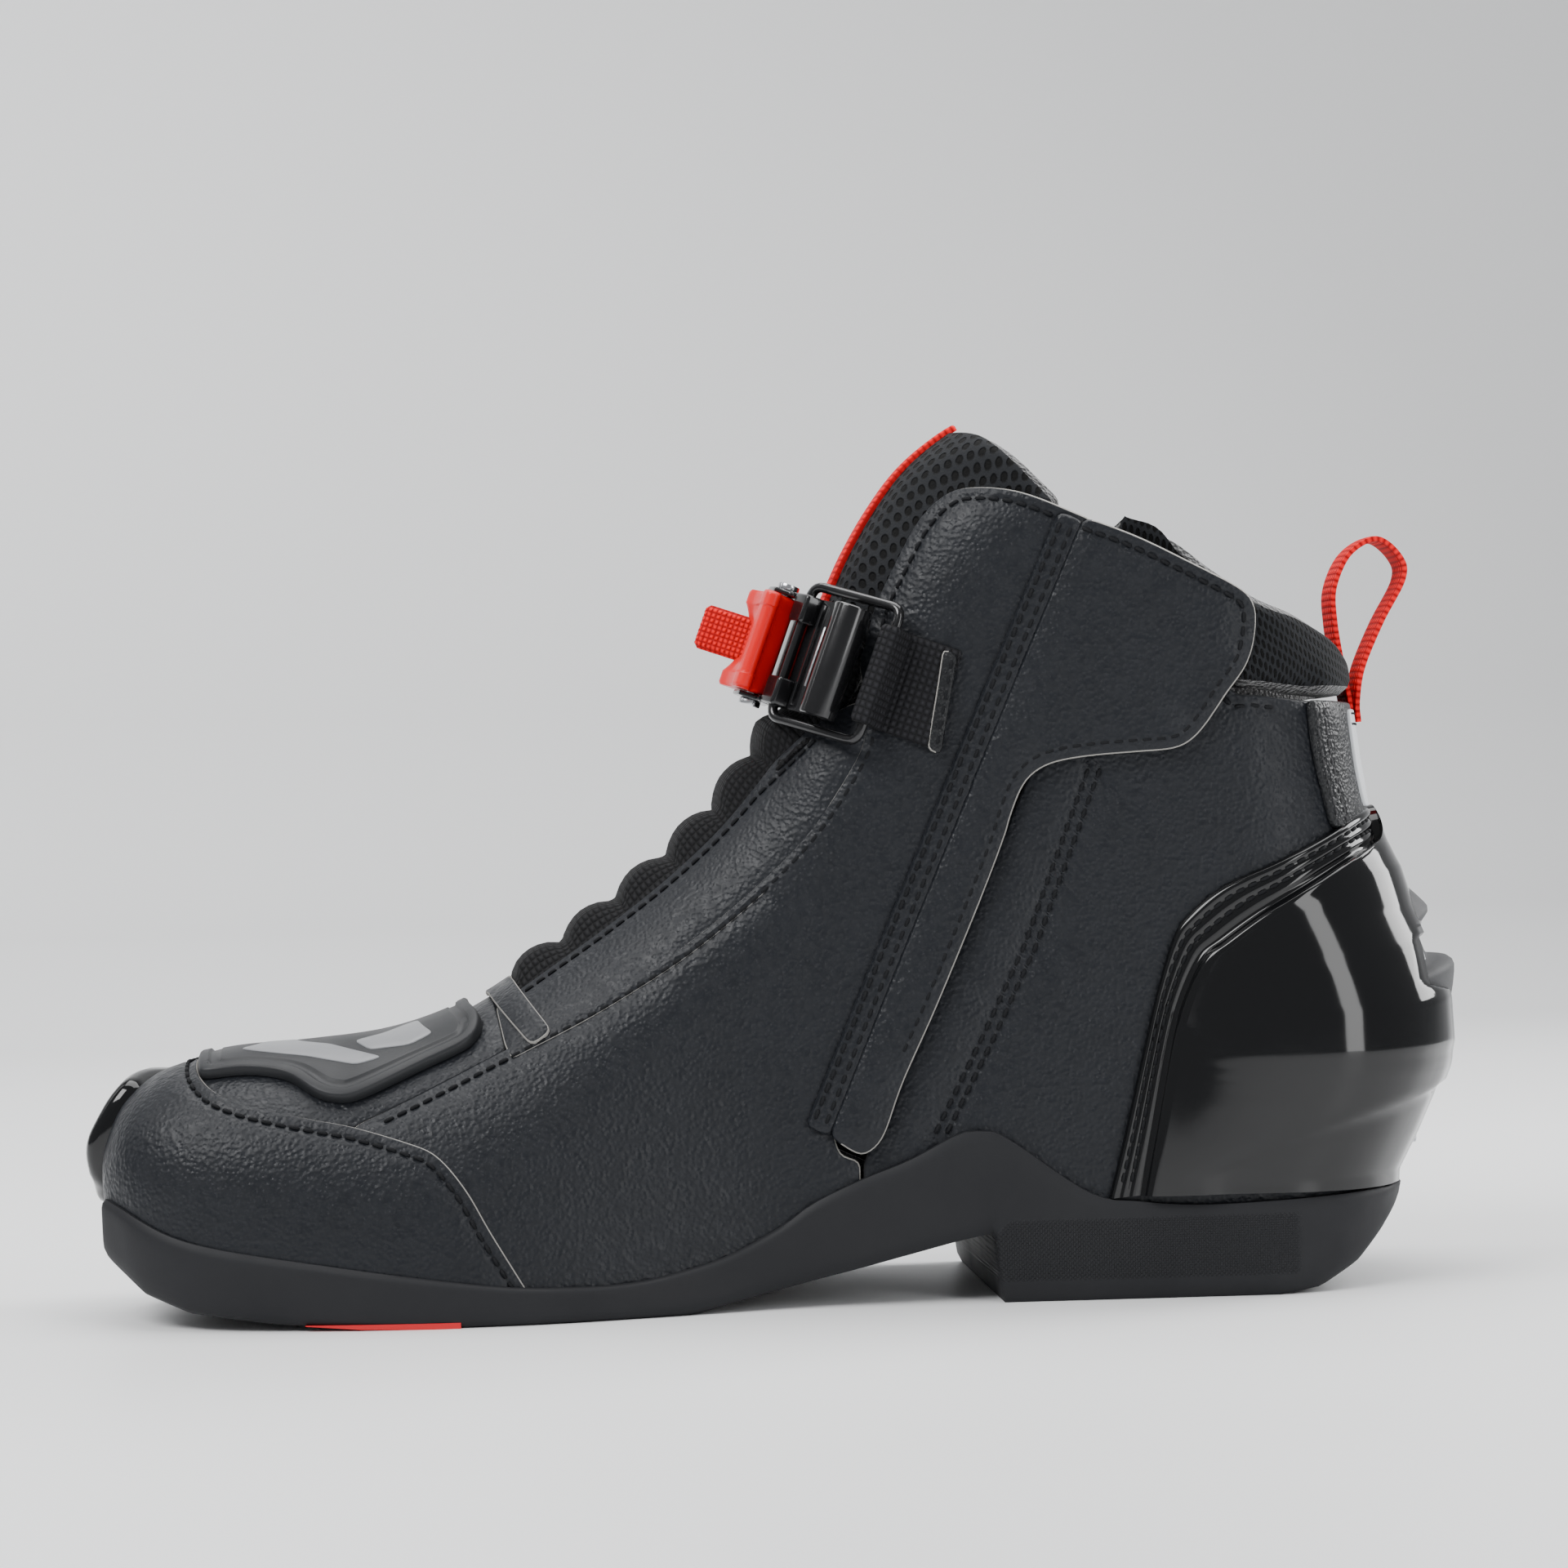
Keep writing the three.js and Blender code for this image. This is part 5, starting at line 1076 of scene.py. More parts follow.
def make_sole(looks):
    """The outsole: a wall of columns round the last, a ribbed tread below and a closed top inside."""
    heel_edge = [-32.3, -31.2]
    shape = np.linspace(0, np.pi, 150)
    x_even = SOLE_FRONT + (62.2 - SOLE_FRONT) * (0.5 - 0.5 * np.cos(shape))
    x = np.sort(np.concatenate([x_even, heel_edge, [-33.2, -30.4]]))
    smooth_top = {MEDIAL: spline(MEDIAL_SOLE_LINE), LATERAL: spline(LATERAL_SOLE_LINE)}
    levels = np.array([0.0, 0.06, 0.16, 0.3, 0.45, 0.6, 0.74, 0.86, 0.94, 1.0])
    half = {}
    for side in (MEDIAL, LATERAL):
        top = line_at(smooth_top[side], x)
        ground = line_at(GROUND_LINE, x)
        rows = []
        for level in levels:
            z = ground + (top - ground) * level
            back = np.interp(z, BACK_LINE[:, 0], BACK_LINE[:, 1])
            y = half_width(np.minimum(x, back - 0.02), np.clip(z, 2, None), side)
            y = np.where(x >= back - 0.02, 0, y)
            rows.append(np.stack([np.minimum(x, back), y, z], 1))
        half[side] = np.array(rows)
    loop = np.concatenate([half[MEDIAL][:, ::-1], half[LATERAL]], axis=1)
    along = np.roll(loop, -1, 1) - np.roll(loop, 1, 1)
    flat = np.cross(along, [0, 0, 1.0])
    flat[..., 2] = 0
    outward = -unit(flat)
    outward[np.linalg.norm(flat, axis=2) < 1e-6] = [-1, 0, 0]
    centre = loop.mean(axis=(0, 1))
    facing = np.sum(outward * (loop - centre), axis=2)
    outward *= np.where(np.median(facing) < 0, -1, 1)
    tuck = np.array([1.5, 0.6, 0.12, 0, 0, 0, 0, 0, 0.25, 0.9])
    lifted = loop + outward * (RAND - tuck)[:, None, None]
    rim = loop[-1] + outward[-1] * (RAND - 2.4) + np.array([0, 0, 0.1])
    inner = loop[-1] - outward[-1] * 3.4 - np.array([0, 0, 1.2])
    rings = list(lifted) + [rim, inner]
    width = loop.shape[1]
    verts = np.vstack(rings)
    faces = []
    for r in range(len(rings) - 1):
        for c in range(width):
            n = (c + 1) % width
            faces.append((r * width + c, r * width + n, (r + 1) * width + n, (r + 1) * width + c))
    count = len(x)

    def bridge(ring, rib):
        """Faces from the medial side to the lateral side of a ring, with its own rows between."""
        nonlocal verts
        across = np.linspace(0, 1, 15)[1:-1]
        start = len(verts)
        one = verts[ring * width:(ring + 1) * width][:count][::-1]
        other = verts[ring * width:(ring + 1) * width][count:]
        rows = one[:, None] * (1 - across)[None, :, None] + other[:, None] * across[None, :, None]
        if rib is not None:
            rows[..., 2] += rib(rows)
        verts = np.vstack([verts, rows.reshape(-1, 3)])
        inner_count = len(across)

        def index(column, row):
            if row < 0:
                return ring * width + count - 1 - column
            if row >= inner_count:
                return ring * width + count + column
            return start + column * inner_count + row

        for column in range(count - 1):
            for row in range(-1, inner_count):
                faces.append((index(column, row), index(column, row + 1), index(column + 1, row + 1),
                              index(column + 1, row)))

    def tread(rows):
        x_place, y_place = rows[..., 0], rows[..., 1]
        ribs = np.sin(x_place * 1.05 + 0.02 * y_place * y_place)
        on_ball = smooth((x_place + 215) / 6) * smooth((-92 - x_place) / 6)
        on_heel = smooth((x_place + 27) / 3) * smooth((30 - x_place) / 3)
        inner_side = smooth((38 - np.abs(y_place - 0.5)) / 5)
        return 1.3 * inner_side * (on_ball + on_heel) * smooth(0.5 - ribs)

    bridge(0, tread)
    bridge(len(rings) - 1, None)
    obj = new_object("outsole_rubber", verts, faces, [looks["rubber"]])
    work = bmesh.new()
    work.from_mesh(obj.data)
    bmesh.ops.remove_doubles(work, verts=work.verts, dist=0.02 * MM)
    bmesh.ops.recalc_face_normals(work, faces=work.faces)
    work.to_mesh(obj.data)
    work.free()
    sharpen(obj, 42)
    finish_piece(obj, "upper", ("outsole",))


def carry_over(looks, pairs):
    """CAD nodes whose shape is right keep it and get a finished material."""
    for node, look in pairs.items():
        mesh = bpy.data.objects[node].data
        mesh.materials.clear()
        mesh.materials.append(looks[look])


# ------------------------------------------------------------------ heel
CUP_RISE = [(19, 0), (23, 3.2), (34, 8), (42, 11), (53, 14.4), (63, 14.7), (74, 12), (84, 8.7), (93, 7.5),
            (101, 4.5)]


def walk(run, count):
    """A side-view run as evenly spaced points."""
    path = np.concatenate([[0], np.cumsum(np.hypot(*np.diff(run, axis=0).T))])
    at = np.linspace(0, path[-1], count)
    return np.stack([np.interp(at, path, run[:, k]) for k in (0, 1)], 1)


FIN_EDGE = np.array([
    (58.8, 78), (61.1, 81.1), (70.8, 86.1), (90, 90), (90, 62), (72.2, 62), (59.8, 64.1), (57.1, 66.5),
    (57.5, 75.7),
])
FLANGE_TOP, LIP_RISE = 2.1, 2.0


def make_heel_cup(looks):
    """Rows run along the cup's edge: over the stitched flange, up the lip and on to the back's middle."""
    count = 150
    edge = walk(spline(CUP_EDGE[:-1] + [(57.3, 107.2)]), count)
    lip = walk(spline(CUP_BULGE_EDGE[:-1] + [(59.6, 99.2)]), count)
    back_z = np.linspace(22.4, 107.2, count)
    back_x = np.interp(back_z, BACK_LINE[:, 0], BACK_LINE[:, 1])
    back = np.stack([back_x, back_z], 1)

    flange = [0, 0.03, 0.08, 0.15, 0.21, 0.26, 0.30, 0.34, 0.39, 0.45, 0.51, 0.56, 0.60, 0.64, 0.69, 0.76,
              0.84, 0.90, 0.95]
    shell = [0, 0.008, 0.016, 0.026, 0.038, 0.052, 0.07, 0.095, 0.13, 0.17, 0.22, 0.27, 0.32, 0.38, 0.44,
             0.5, 0.56,
             0.62, 0.68, 0.74, 0.80, 0.86, 0.91, 0.96]
    rows = [(edge + (lip - edge) * f, np.full(count, (f - 1) * 7.0)) for f in flange]
    for f in shell:
        run = lip + (back - lip) * f
        rows.append((run, np.hypot(*(run - lip).T)))
    rise_x, rise_y = np.array(CUP_RISE).T

    def lift_at(run, away):
        x, z = run.T
        grooves = sum(0.5 * np.exp(-((away + d) / 0.55) ** 2) for d in (4.9, 2.8))
        flange_edge = 1.2 * np.clip(1 - (away + 7) / 0.9, 0, 1) ** 2
        full = np.maximum(np.interp(z, rise_x, rise_y) - FLANGE_TOP - LIP_RISE, 0)
        round_to_back = np.clip((x - lip[:, 0].clip(None, 50) - 2) / (64 - lip[:, 0].clip(None, 50)), 0, 1)
        crease = np.interp(x, [3, 30.4, 55.1, 80], [22.9, 33.5, 42.9, 51.4])
        below = smooth((crease - z + 0.8) / 2.2) * smooth((x - 10) / 12)
        dip = 0.35 * np.exp(-((away + 0.5) / 0.5) ** 2)
        bulge = LIP_RISE * smooth(away / 2.2) + full * smooth(round_to_back) * smooth(away / 9)
        fins = inside_loop(run, FIN_EDGE)
        recess = np.where(fins, 3.6 * smooth((run_distance(run,
                                                           np.vstack([FIN_EDGE,
                                                               FIN_EDGE[:1]])) - 0.9) / 1.2), 0)
        return FLANGE_TOP - grooves - flange_edge - dip + bulge - 1.5 * below * smooth(away / 3) - recess

    places, lifts = [], []
    for run, away in rows:
        places.append(on_skin(run, MEDIAL))
        lifts.append(lift_at(run, away))
    spine = np.stack([on_skin(back - (0.02, 0), MEDIAL)[:, 0], np.full(count, -1.0)], 1)
    spine_lift = lift_at(back, np.hypot(*(back - lip).T))
    places.append(spine)
    lifts.append(spine_lift)
    for (run, away), lift in zip(rows[::-1], lifts[-2::-1]):
        places.append(on_skin(run, LATERAL, True))
        lifts.append(lift)
    top_rows = len(places)
    grid = np.array(places)
    lift = np.array(lifts)
    verts = [skin(*g.T) + normals(*g.T) * h[:, None] for g, h in zip(grid, lift)]
    back_face = [skin(*g.T) + normals(*g.T) * 0.25 for g in grid]
    uv = np.vstack([arc_uv(*g.T) for g in grid] * 2)
    verts = np.vstack(verts + back_face)
    size = top_rows * count
    faces = []
    for r in range(top_rows - 1):
        for c in range(count - 1):
            a = r * count + c
            faces.append((a, a + 1, a + count + 1, a + count))
            faces.append((size + a + count, size + a + count + 1, size + a + 1, size + a))
    border = [c for c in range(count)] + [r * count + count - 1 for r in range(1, top_rows)]
    border += [(top_rows - 1) * count + c for c in range(count - 2, -1, -1)]
    border += [r * count for r in range(top_rows - 2, 0, -1)]
    for a, b in zip(border, border[1:] + border[:1]):
        faces.append((a, b, size + b, size + a))
    obj = new_object("heel_cup_shell", verts, faces, [looks["gloss"]], uv=uv)
    mesh_fix(obj)
    sharpen(obj, 60)
    finish_piece(obj, "upper", ("heel_cup",))
    seams = []
    for share in (0.30, 0.60):
        run = (edge + (lip - edge) * share)[4:-3]
        seams += [on_skin(run, MEDIAL), on_skin(run, LATERAL, True)]
    stitches("heel_cup_thread", seams, looks["thread"], height=FLANGE_TOP - 0.5, pitch=2.9)


CUP_BACK = np.array([(63, 19.5), (66.5, 25), (72.1, 34.5), (75.6, 42), (79.6, 53.2), (79, 63), (75.5, 74),
                     (71, 84), (68.5, 93), (64.5, 101)])
FIN_SPREAD, REFLECTOR_SPREAD = 52, 24
FIN_PROFILE = [
    (-3.4, 90.2), (-0.6, 89.6), (0.4, 88.9), (1.8, 87.1), (3.0, 85.5), (3.4, 84.7), (3.1, 83.8), (1.0, 81.9),
    (-1.0, 80.6), (-1.7, 79.8), (-1.9, 77), (-2.1, 74.2), (-1.5, 73.3), (0.6, 73.1), (2.9, 72.9), (3.7, 72.2),
    (3.8, 71.2), (3.3, 69.6), (1.9, 66.2), (0.5, 63.3), (-0.4, 62.4), (-3.4, 61.6),
]
FIN_END = [
    (-3.4, 79.0), (-0.6, 78.6), (-0.3, 78.3), (-0.1, 77.9), (0, 77.4), (0.1, 76.9), (0, 76.4), (-0.2, 76),
    (-0.9, 75.6), (-1.3, 75), (-1.4, 71.2), (-1.3, 67.6), (-0.9, 67.0), (-0.1, 66.4), (0.1, 66.1),
    (0.3, 65.8),
    (0.3, 65.4), (0.2, 65), (0.1, 64.6), (-0.2, 64.1), (-0.6, 63.8), (-3.4, 63.4),
]


def round_heel(turn, out, z):
    """Places round the heel form; turn is in degrees from the middle of the back to the lateral side."""
    x = np.interp(z, CUP_BACK[:, 1], CUP_BACK[:, 0])
    half = 34 + 3.2 * smooth((z - 18) / 20) - 6 * smooth((z - 70) / 34)
    c, s = math.cos(math.radians(turn)), math.sin(math.radians(turn))
    return np.stack([24 + (x + out - 24) * c ** 0.85, (half + out) * math.copysign(abs(s) ** 0.85, s), z], 1)


def make_heel_fins(looks):
    """The insert in the cup's back: two fins that thin out toward the sides, and a reflector on each side."""
    profile, end = np.array(FIN_PROFILE), np.array(FIN_END)

    def section(turn):
        ends = math.cos(math.radians(FIN_SPREAD)) ** 0.85
        share = (1 - math.cos(math.radians(turn)) ** 0.85) / (1 - ends)
        return profile + (end - profile) * min(share, 1)

    rings, uv = [], []
    for turn in np.linspace(-FIN_SPREAD, FIN_SPREAD, 93):
        e, z = section(turn).T
        rings.append(round_heel(turn, e, z))
        uv += [(turn * 0.7, v) for v in z]
    swept("heel_fin_insert", rings, np.array(uv), looks["fin"], "upper", ("heel_fins",),
          angle=50)
    for side, word in ((-1, "medial"), (1, "lateral")):
        rings, uv = [], []
        for turn in side * np.linspace(REFLECTOR_SPREAD, FIN_SPREAD - 0.8, 30):
            e, z = section(turn)[9:12].T
            z = np.linspace(z[0] + 0.3, z[-1] - 0.3, 9)
            e = np.full(9, e[1])
            ring = np.vstack([round_heel(turn, e + 0.5, z), round_heel(turn, e - 0.4, z)[::-1]])
            rings.append(ring)
            uv += [(turn * 0.72, v) for v in (*z, *z[::-1])]
        swept(f"heel_reflector_{word}", rings, np.array(uv), looks["honeycomb"], "upper",
              ("heel_reflector",), angle=40)


def make_backstay(looks):
    front = spline(STAY_FRONT)
    top = straight([(56.0, 131.2), (40.3, 131.8)])
    bottom = straight([(45.7, 102.8), (60.2, 104)])
    side = np.vstack([top, front[1:], bottom[1:]])
    outline = np.vstack([on_skin(side, MEDIAL), on_skin(side, LATERAL, True)[::-1]])
    runs = [beside(front[2:], -d) for d in (1.6, 3.8)]
    seams = [on_skin(run, MEDIAL) for run in runs] + [on_skin(run, LATERAL, True) for run in runs]
    dips, extra = with_grooves(seams, 0.2, 0.6)
    panel("backstay_leather", outline, [looks["leather_fine"]], lift=0.2, thickness=1.2, height=dips,
          extra=extra,
          corner=2, replaces=("backstay",))
    stitches("backstay_thread", seams, looks["grey_thread"], height=1.25, pitch=2.2, length=1.5, radius=0.3)

    tape = straight([(57.6, 129.6), (51.3, 129.6), (52.8, 116), (54.8, 107.5), (61, 107.5)], 1)
    outline = np.vstack([on_skin(tape, MEDIAL), on_skin(tape, LATERAL, True)[::-1]])
    panel("back_tape", outline, [looks["tape"]], lift=1.3, thickness=0.75, roll=0.3, corner=2,
          slot="reflective",
          replaces=("back_reflector",))
    rows = [straight([(51.8, 128.6 - d), (56.5, 128.6 - d)]) for d in (0, 2.4)]
    stitches("back_tape_thread", [on_skin(r, MEDIAL) for r in rows] + [on_skin(r, LATERAL,
        True) for r in rows],
             looks["thread"], height=1.95, pitch=2.2, length=1.5, radius=0.3)


LOOP_LINE = [
    (57.4, 127), (57.4, 131.8), (55.6, 141.5), (54.3, 150.7), (54.4, 158.3), (58.2, 166), (64.7, 169.3),
    (70, 165), (70.6, 159.9), (65.2, 150), (60.6, 139.6), (59.2, 131.8), (59.4, 127),
]


def ribbon(name, side_line, half, thickness, material, replaces, bulge=0.35):
    """A woven band on edge in the side view, thicker in the middle than at its selvedges."""
    line = spline(side_line, 0.8)
    way = unit(np.gradient(line, axis=0))
    out = np.stack([way[:, 1], -way[:, 0]], 1)
    profile = []
    for k in range(9):
        a = -1 + k / 4
        profile.append((a * half, thickness / 2 * (1 - bulge * abs(a) ** 4)))
    profile = profile + [(a, -b) for a, b in profile[::-1]]
    rings = [[(p[0] + o[0] * b, a, p[1] + o[1] * b) for a, b in profile] for p, o in zip(line, out)]
    path = np.concatenate([[0], np.cumsum(np.linalg.norm(np.diff(line, axis=0), axis=1))])
    uv = np.array([[a, d] for d in path for a, b in profile])
    return swept(name, rings, uv, material, "upper", replaces, angle=55)


# ------------------------------------------------------------------ toe slider and shift pad
def make_toe_parts(looks):
    front = [(3.4, -0.03), (2.4, -0.05), (1.4, -0.05), (0.7, -0.03), (0.35, 0.05), (0.4, 0.2), (0.7, 0.31),
             (1.2, 0.35), (2, 0.40), (3, 0.468)]
    lateral = spline([(-208.4, 22.5), (-180, 18.5), (-176, 28), (-182, 40), (-200, 48.6), (-216, 51.8)])
    outline = np.vstack([front, on_skin(lateral, LATERAL)])

    def rise(p, places):
        ridge = np.exp(-((p[:, 2] - 36 + 0.1 * (p[:, 0] + 205)) / 5) ** 2)
        return 0.9 * ridge

    panel("toe_slider_shell", outline, [looks["gloss"]], lift=0.2, thickness=4.4, roll=2.2, spacing=1.8,
          height=rise, corner=4, slot="gloss_tpu", replaces=("toe_slider",))

    medial_pad = [(-206.5, 53), (-196.6, 53.9), (-187.5, 52.7), (-181.1, 49.2), (-176.7, 48), (-171.3, 48.5),
                  (-157, 54.4), (-147, 58.8), (-144.3, 62.1), (-144.2, 64.5), (-147, 66.8)]
    lateral_pad = [(-206.5, 53.5), (-190, 54.5), (-170, 54), (-157, 57.4), (-147, 62), (-146.5, 66.9)]
    medial, lateral = on_skin(spline(medial_pad), MEDIAL), on_skin(spline(lateral_pad), LATERAL)
    outline = np.vstack([medial, lateral[::-1]])
    loop = resample(outline, 1.0)
    rim = skin(*np.vstack([loop, loop[:1]]).T)
    way = unit(np.roll(rim[:-1], -1, 0) - np.roll(rim[:-1], 1, 0))
    turned = np.sign(np.sum(loop[:, 0] * np.roll(loop[:, 1], -1) - loop[:, 1] * np.roll(loop[:, 0], -1)))
    inward = np.cross(normals(*loop.T), way) * turned

    def dish(p, places):
        away = run_distance(p, rim)
        return -0.75 * smooth((away - 2.3) / 0.55) + 0.35 * smooth((away - 4.6) / 0.4)

    rows = [jacobian_move(loop, inward * d) for d in (1.2, 2.3, 2.6, 2.9, 4.6, 4.9, 5.2)]
    panel("shift_pad_rubber", outline, [looks["pad"]], lift=0.2, thickness=2.5, roll=0.7, spacing=1.3,
          height=dish, extra=np.vstack(rows), corner=2, slot="matte_tpu",
          replaces=("shift_pad", "shift_pad_insert"))
    chevrons = [
        [(-198, 56.9), (-183, 55.6), (-172, 53.9), (-166, 55.3), (-178, 57.6), (-190, 58.2)],
        [(-169, 56.6), (-160, 57.6), (-154.5, 60), (-158, 61.8), (-166, 59.4), (-172.5, 58.1)],
    ]
    for k, shape in enumerate(chevrons):
        panel(f"shift_pad_inlay_{k + 1}", on_skin(straight(shape + shape[:1])[:-1], MEDIAL),
              [looks["pad_grey"]],
              lift=1.6, thickness=0.95, roll=0.2, spacing=1.5, corner=1, slot="reflective")


# ------------------------------------------------------------------ zip
ZIP_ORIGIN = np.array([-62.499, -33.446, 36.002])
ZIP_RUN = np.array([0.417077, -0.014638, 0.908753])
ZIP_OUT = np.array([-0.078761, -0.996691, 0.020094])
ZIP_SIDE = np.array([0.905452, -0.079955, -0.416850])
ZIP_SPAN, ZIP_CENTRE, TOOTH_PITCH = 147.44, -4.2, 1.5


def in_zip(points):
    p = np.asarray(points, float)
    return ZIP_ORIGIN + p[:, :1] * ZIP_SIDE + p[:, 1:2] * ZIP_RUN + p[:, 2:] * ZIP_OUT


def make_zip(looks):
    for side, word in ((-1, "front"), (1, "rear")):
        verts, faces = [], []
        start = 4.0 if side < 0 else 4.0 + TOOTH_PITCH / 2
        while start < ZIP_SPAN - 7:
            low, high = start, start + 0.62 * TOOTH_PITCH
            shape = [(0.15, 0.5), (0.9, 0.8), (2.3, 0.8), (2.7, 0.45), (2.7, -0.45), (2.3, -0.8),
                     (0.9, -0.8), (0.15, -0.5)]
            base = len(verts)
            for along, scale in ((low, 0.8), (low + 0.15, 1), (high - 0.15, 1), (high, 0.8)):
                verts += [(side * (0.55 + x), along, ZIP_CENTRE + z * scale) for x, z in shape]
            for ring in range(3):
                faces += [(base + ring * 8 + j, base + ring * 8 + (j + 1) % 8,
                           base + (ring + 1) * 8 + (j + 1) % 8,
                           base + (ring + 1) * 8 + j) for j in range(8)]
            faces += [[base + j for j in range(8)][::-1], [base + 24 + j for j in range(8)]]
            start += TOOTH_PITCH
        obj = new_object(f"zip_coil_{word}", in_zip(verts), faces, [looks["zip_metal"]])
        mesh_fix(obj)
        sharpen(obj)
        finish_piece(obj, "upper", (f"zip_teeth_{word}",))
        tape = [(side * 1.6, 3.0), (side * 10.5, 3.0), (side * 10.5, ZIP_SPAN - 6),
                (side * 1.6, ZIP_SPAN - 6)]
        solid(f"zip_tape_cloth_{word}", tape, ZIP_CENTRE - 0.4, ZIP_CENTRE + 0.4, looks["webbing"], "upper",
              0.15, (f"zip_tape_{word}",), place=in_zip)
    wing = [
        (-4.5, 0), (-4.2, -6), (-2.4, -10.6), (2.4, -10.6), (4.2, -6), (4.5, 0), (2.6, 1.4), (0, 0.6),
        (-2.6, 1.4)]
    for low, high, word in ((-3.1, -2.2, "body"), (-6.2, -5.3, "back")):
        solid(f"zip_slider_{word}", wing, low, high, looks["zip_metal"], "zip_pull", 0.25,
              ("zip_slider",), place=lambda p: in_zip(np.asarray(p) + (0, 132.4, 0)))
    solid("zip_puller_plate", [
        (-1.1, 0.6), (-1.4, -8), (-2.5, -12), (-2.5, -22.6), (-1.6, -23.6), (1.6, -23.6), (2.5, -22.6),
        (2.5, -12),
        (1.4, -8), (1.1, 0.6)], -2.1, -1.1, looks["zip_metal"], "zip_pull", 0.25,
        ("zip_puller",),
        place=lambda p: in_zip(np.asarray(p) + (0, 130.4, 0)))


def solid(name, outline, low, high, material, body, bevel, replaces=(), place=None, segments=2):
    """An outline made into a block with rounded edges. place turns its own mm into the row frame."""
    count = len(outline)
    verts = [(x, y, low) for x, y in outline] + [(x, y, high) for x, y in outline]
    faces = [list(range(count))[::-1], [count + k for k in range(count)]]
    faces += [(k, (k + 1) % count, count + (k + 1) % count, count + k) for k in range(count)]
    turn = np.concatenate([[0], np.cumsum(np.linalg.norm(np.diff(np.array(outline, float), axis=0), axis=1))])
    uv = np.array([(z, d) for z in (low, high) for d in turn])
    obj = new_object(name, place(verts), faces, [material], uv=uv)
    work = bmesh.new()
    work.from_mesh(obj.data)
    bmesh.ops.recalc_face_normals(work, faces=work.faces)
    sharp = [e for e in work.edges if e.calc_face_angle(0) > math.radians(24)]
    bmesh.ops.bevel(work, geom=sharp, offset=bevel * MM, segments=segments, profile=0.6, affect="EDGES",
                    clamp_overlap=True)
    work.to_mesh(obj.data)
    work.free()
    sharpen(obj, 35)
    finish_piece(obj, body, replaces)
    return obj


# ------------------------------------------------------------------ strap and buckle
def in_strap(points):
    """Places out of the boot's front, to the medial side and up, as row-frame mm."""
    p = np.asarray(points, float)
    return STRAP_MIDDLE + p[:, :1] * STRAP_OUT + p[:, 1:2] * STRAP_SIDE + p[:, 2:] * STRAP_UP


def polar(degrees, radius):
    turn = math.radians(degrees)
    return (radius * math.cos(turn), radius * math.sin(turn))


def arc(start, end, radius, steps=12):
    return [polar(start + (end - start) * k / steps, radius) for k in range(steps + 1)]


LINK_REAR, LINK_FRONT, LEVER_PIN, BARREL = polar(59, 41), polar(22, 43), polar(9, 45.2), polar(44, 43)
LADDER_INNER, LADDER_OUTER, PLATE_OUTER = 38.1, 40.1, 41.6
WEB_HALF, WEB_STEP = 11.3, 0.34


def round_outline(centre, radius, count=24, flatten=1.0):
    return [(centre[0] + radius * math.cos(2 * math.pi * k / count),
             centre[1] + flatten * radius * math.sin(2 * math.pi * k / count)) for k in range(count)]


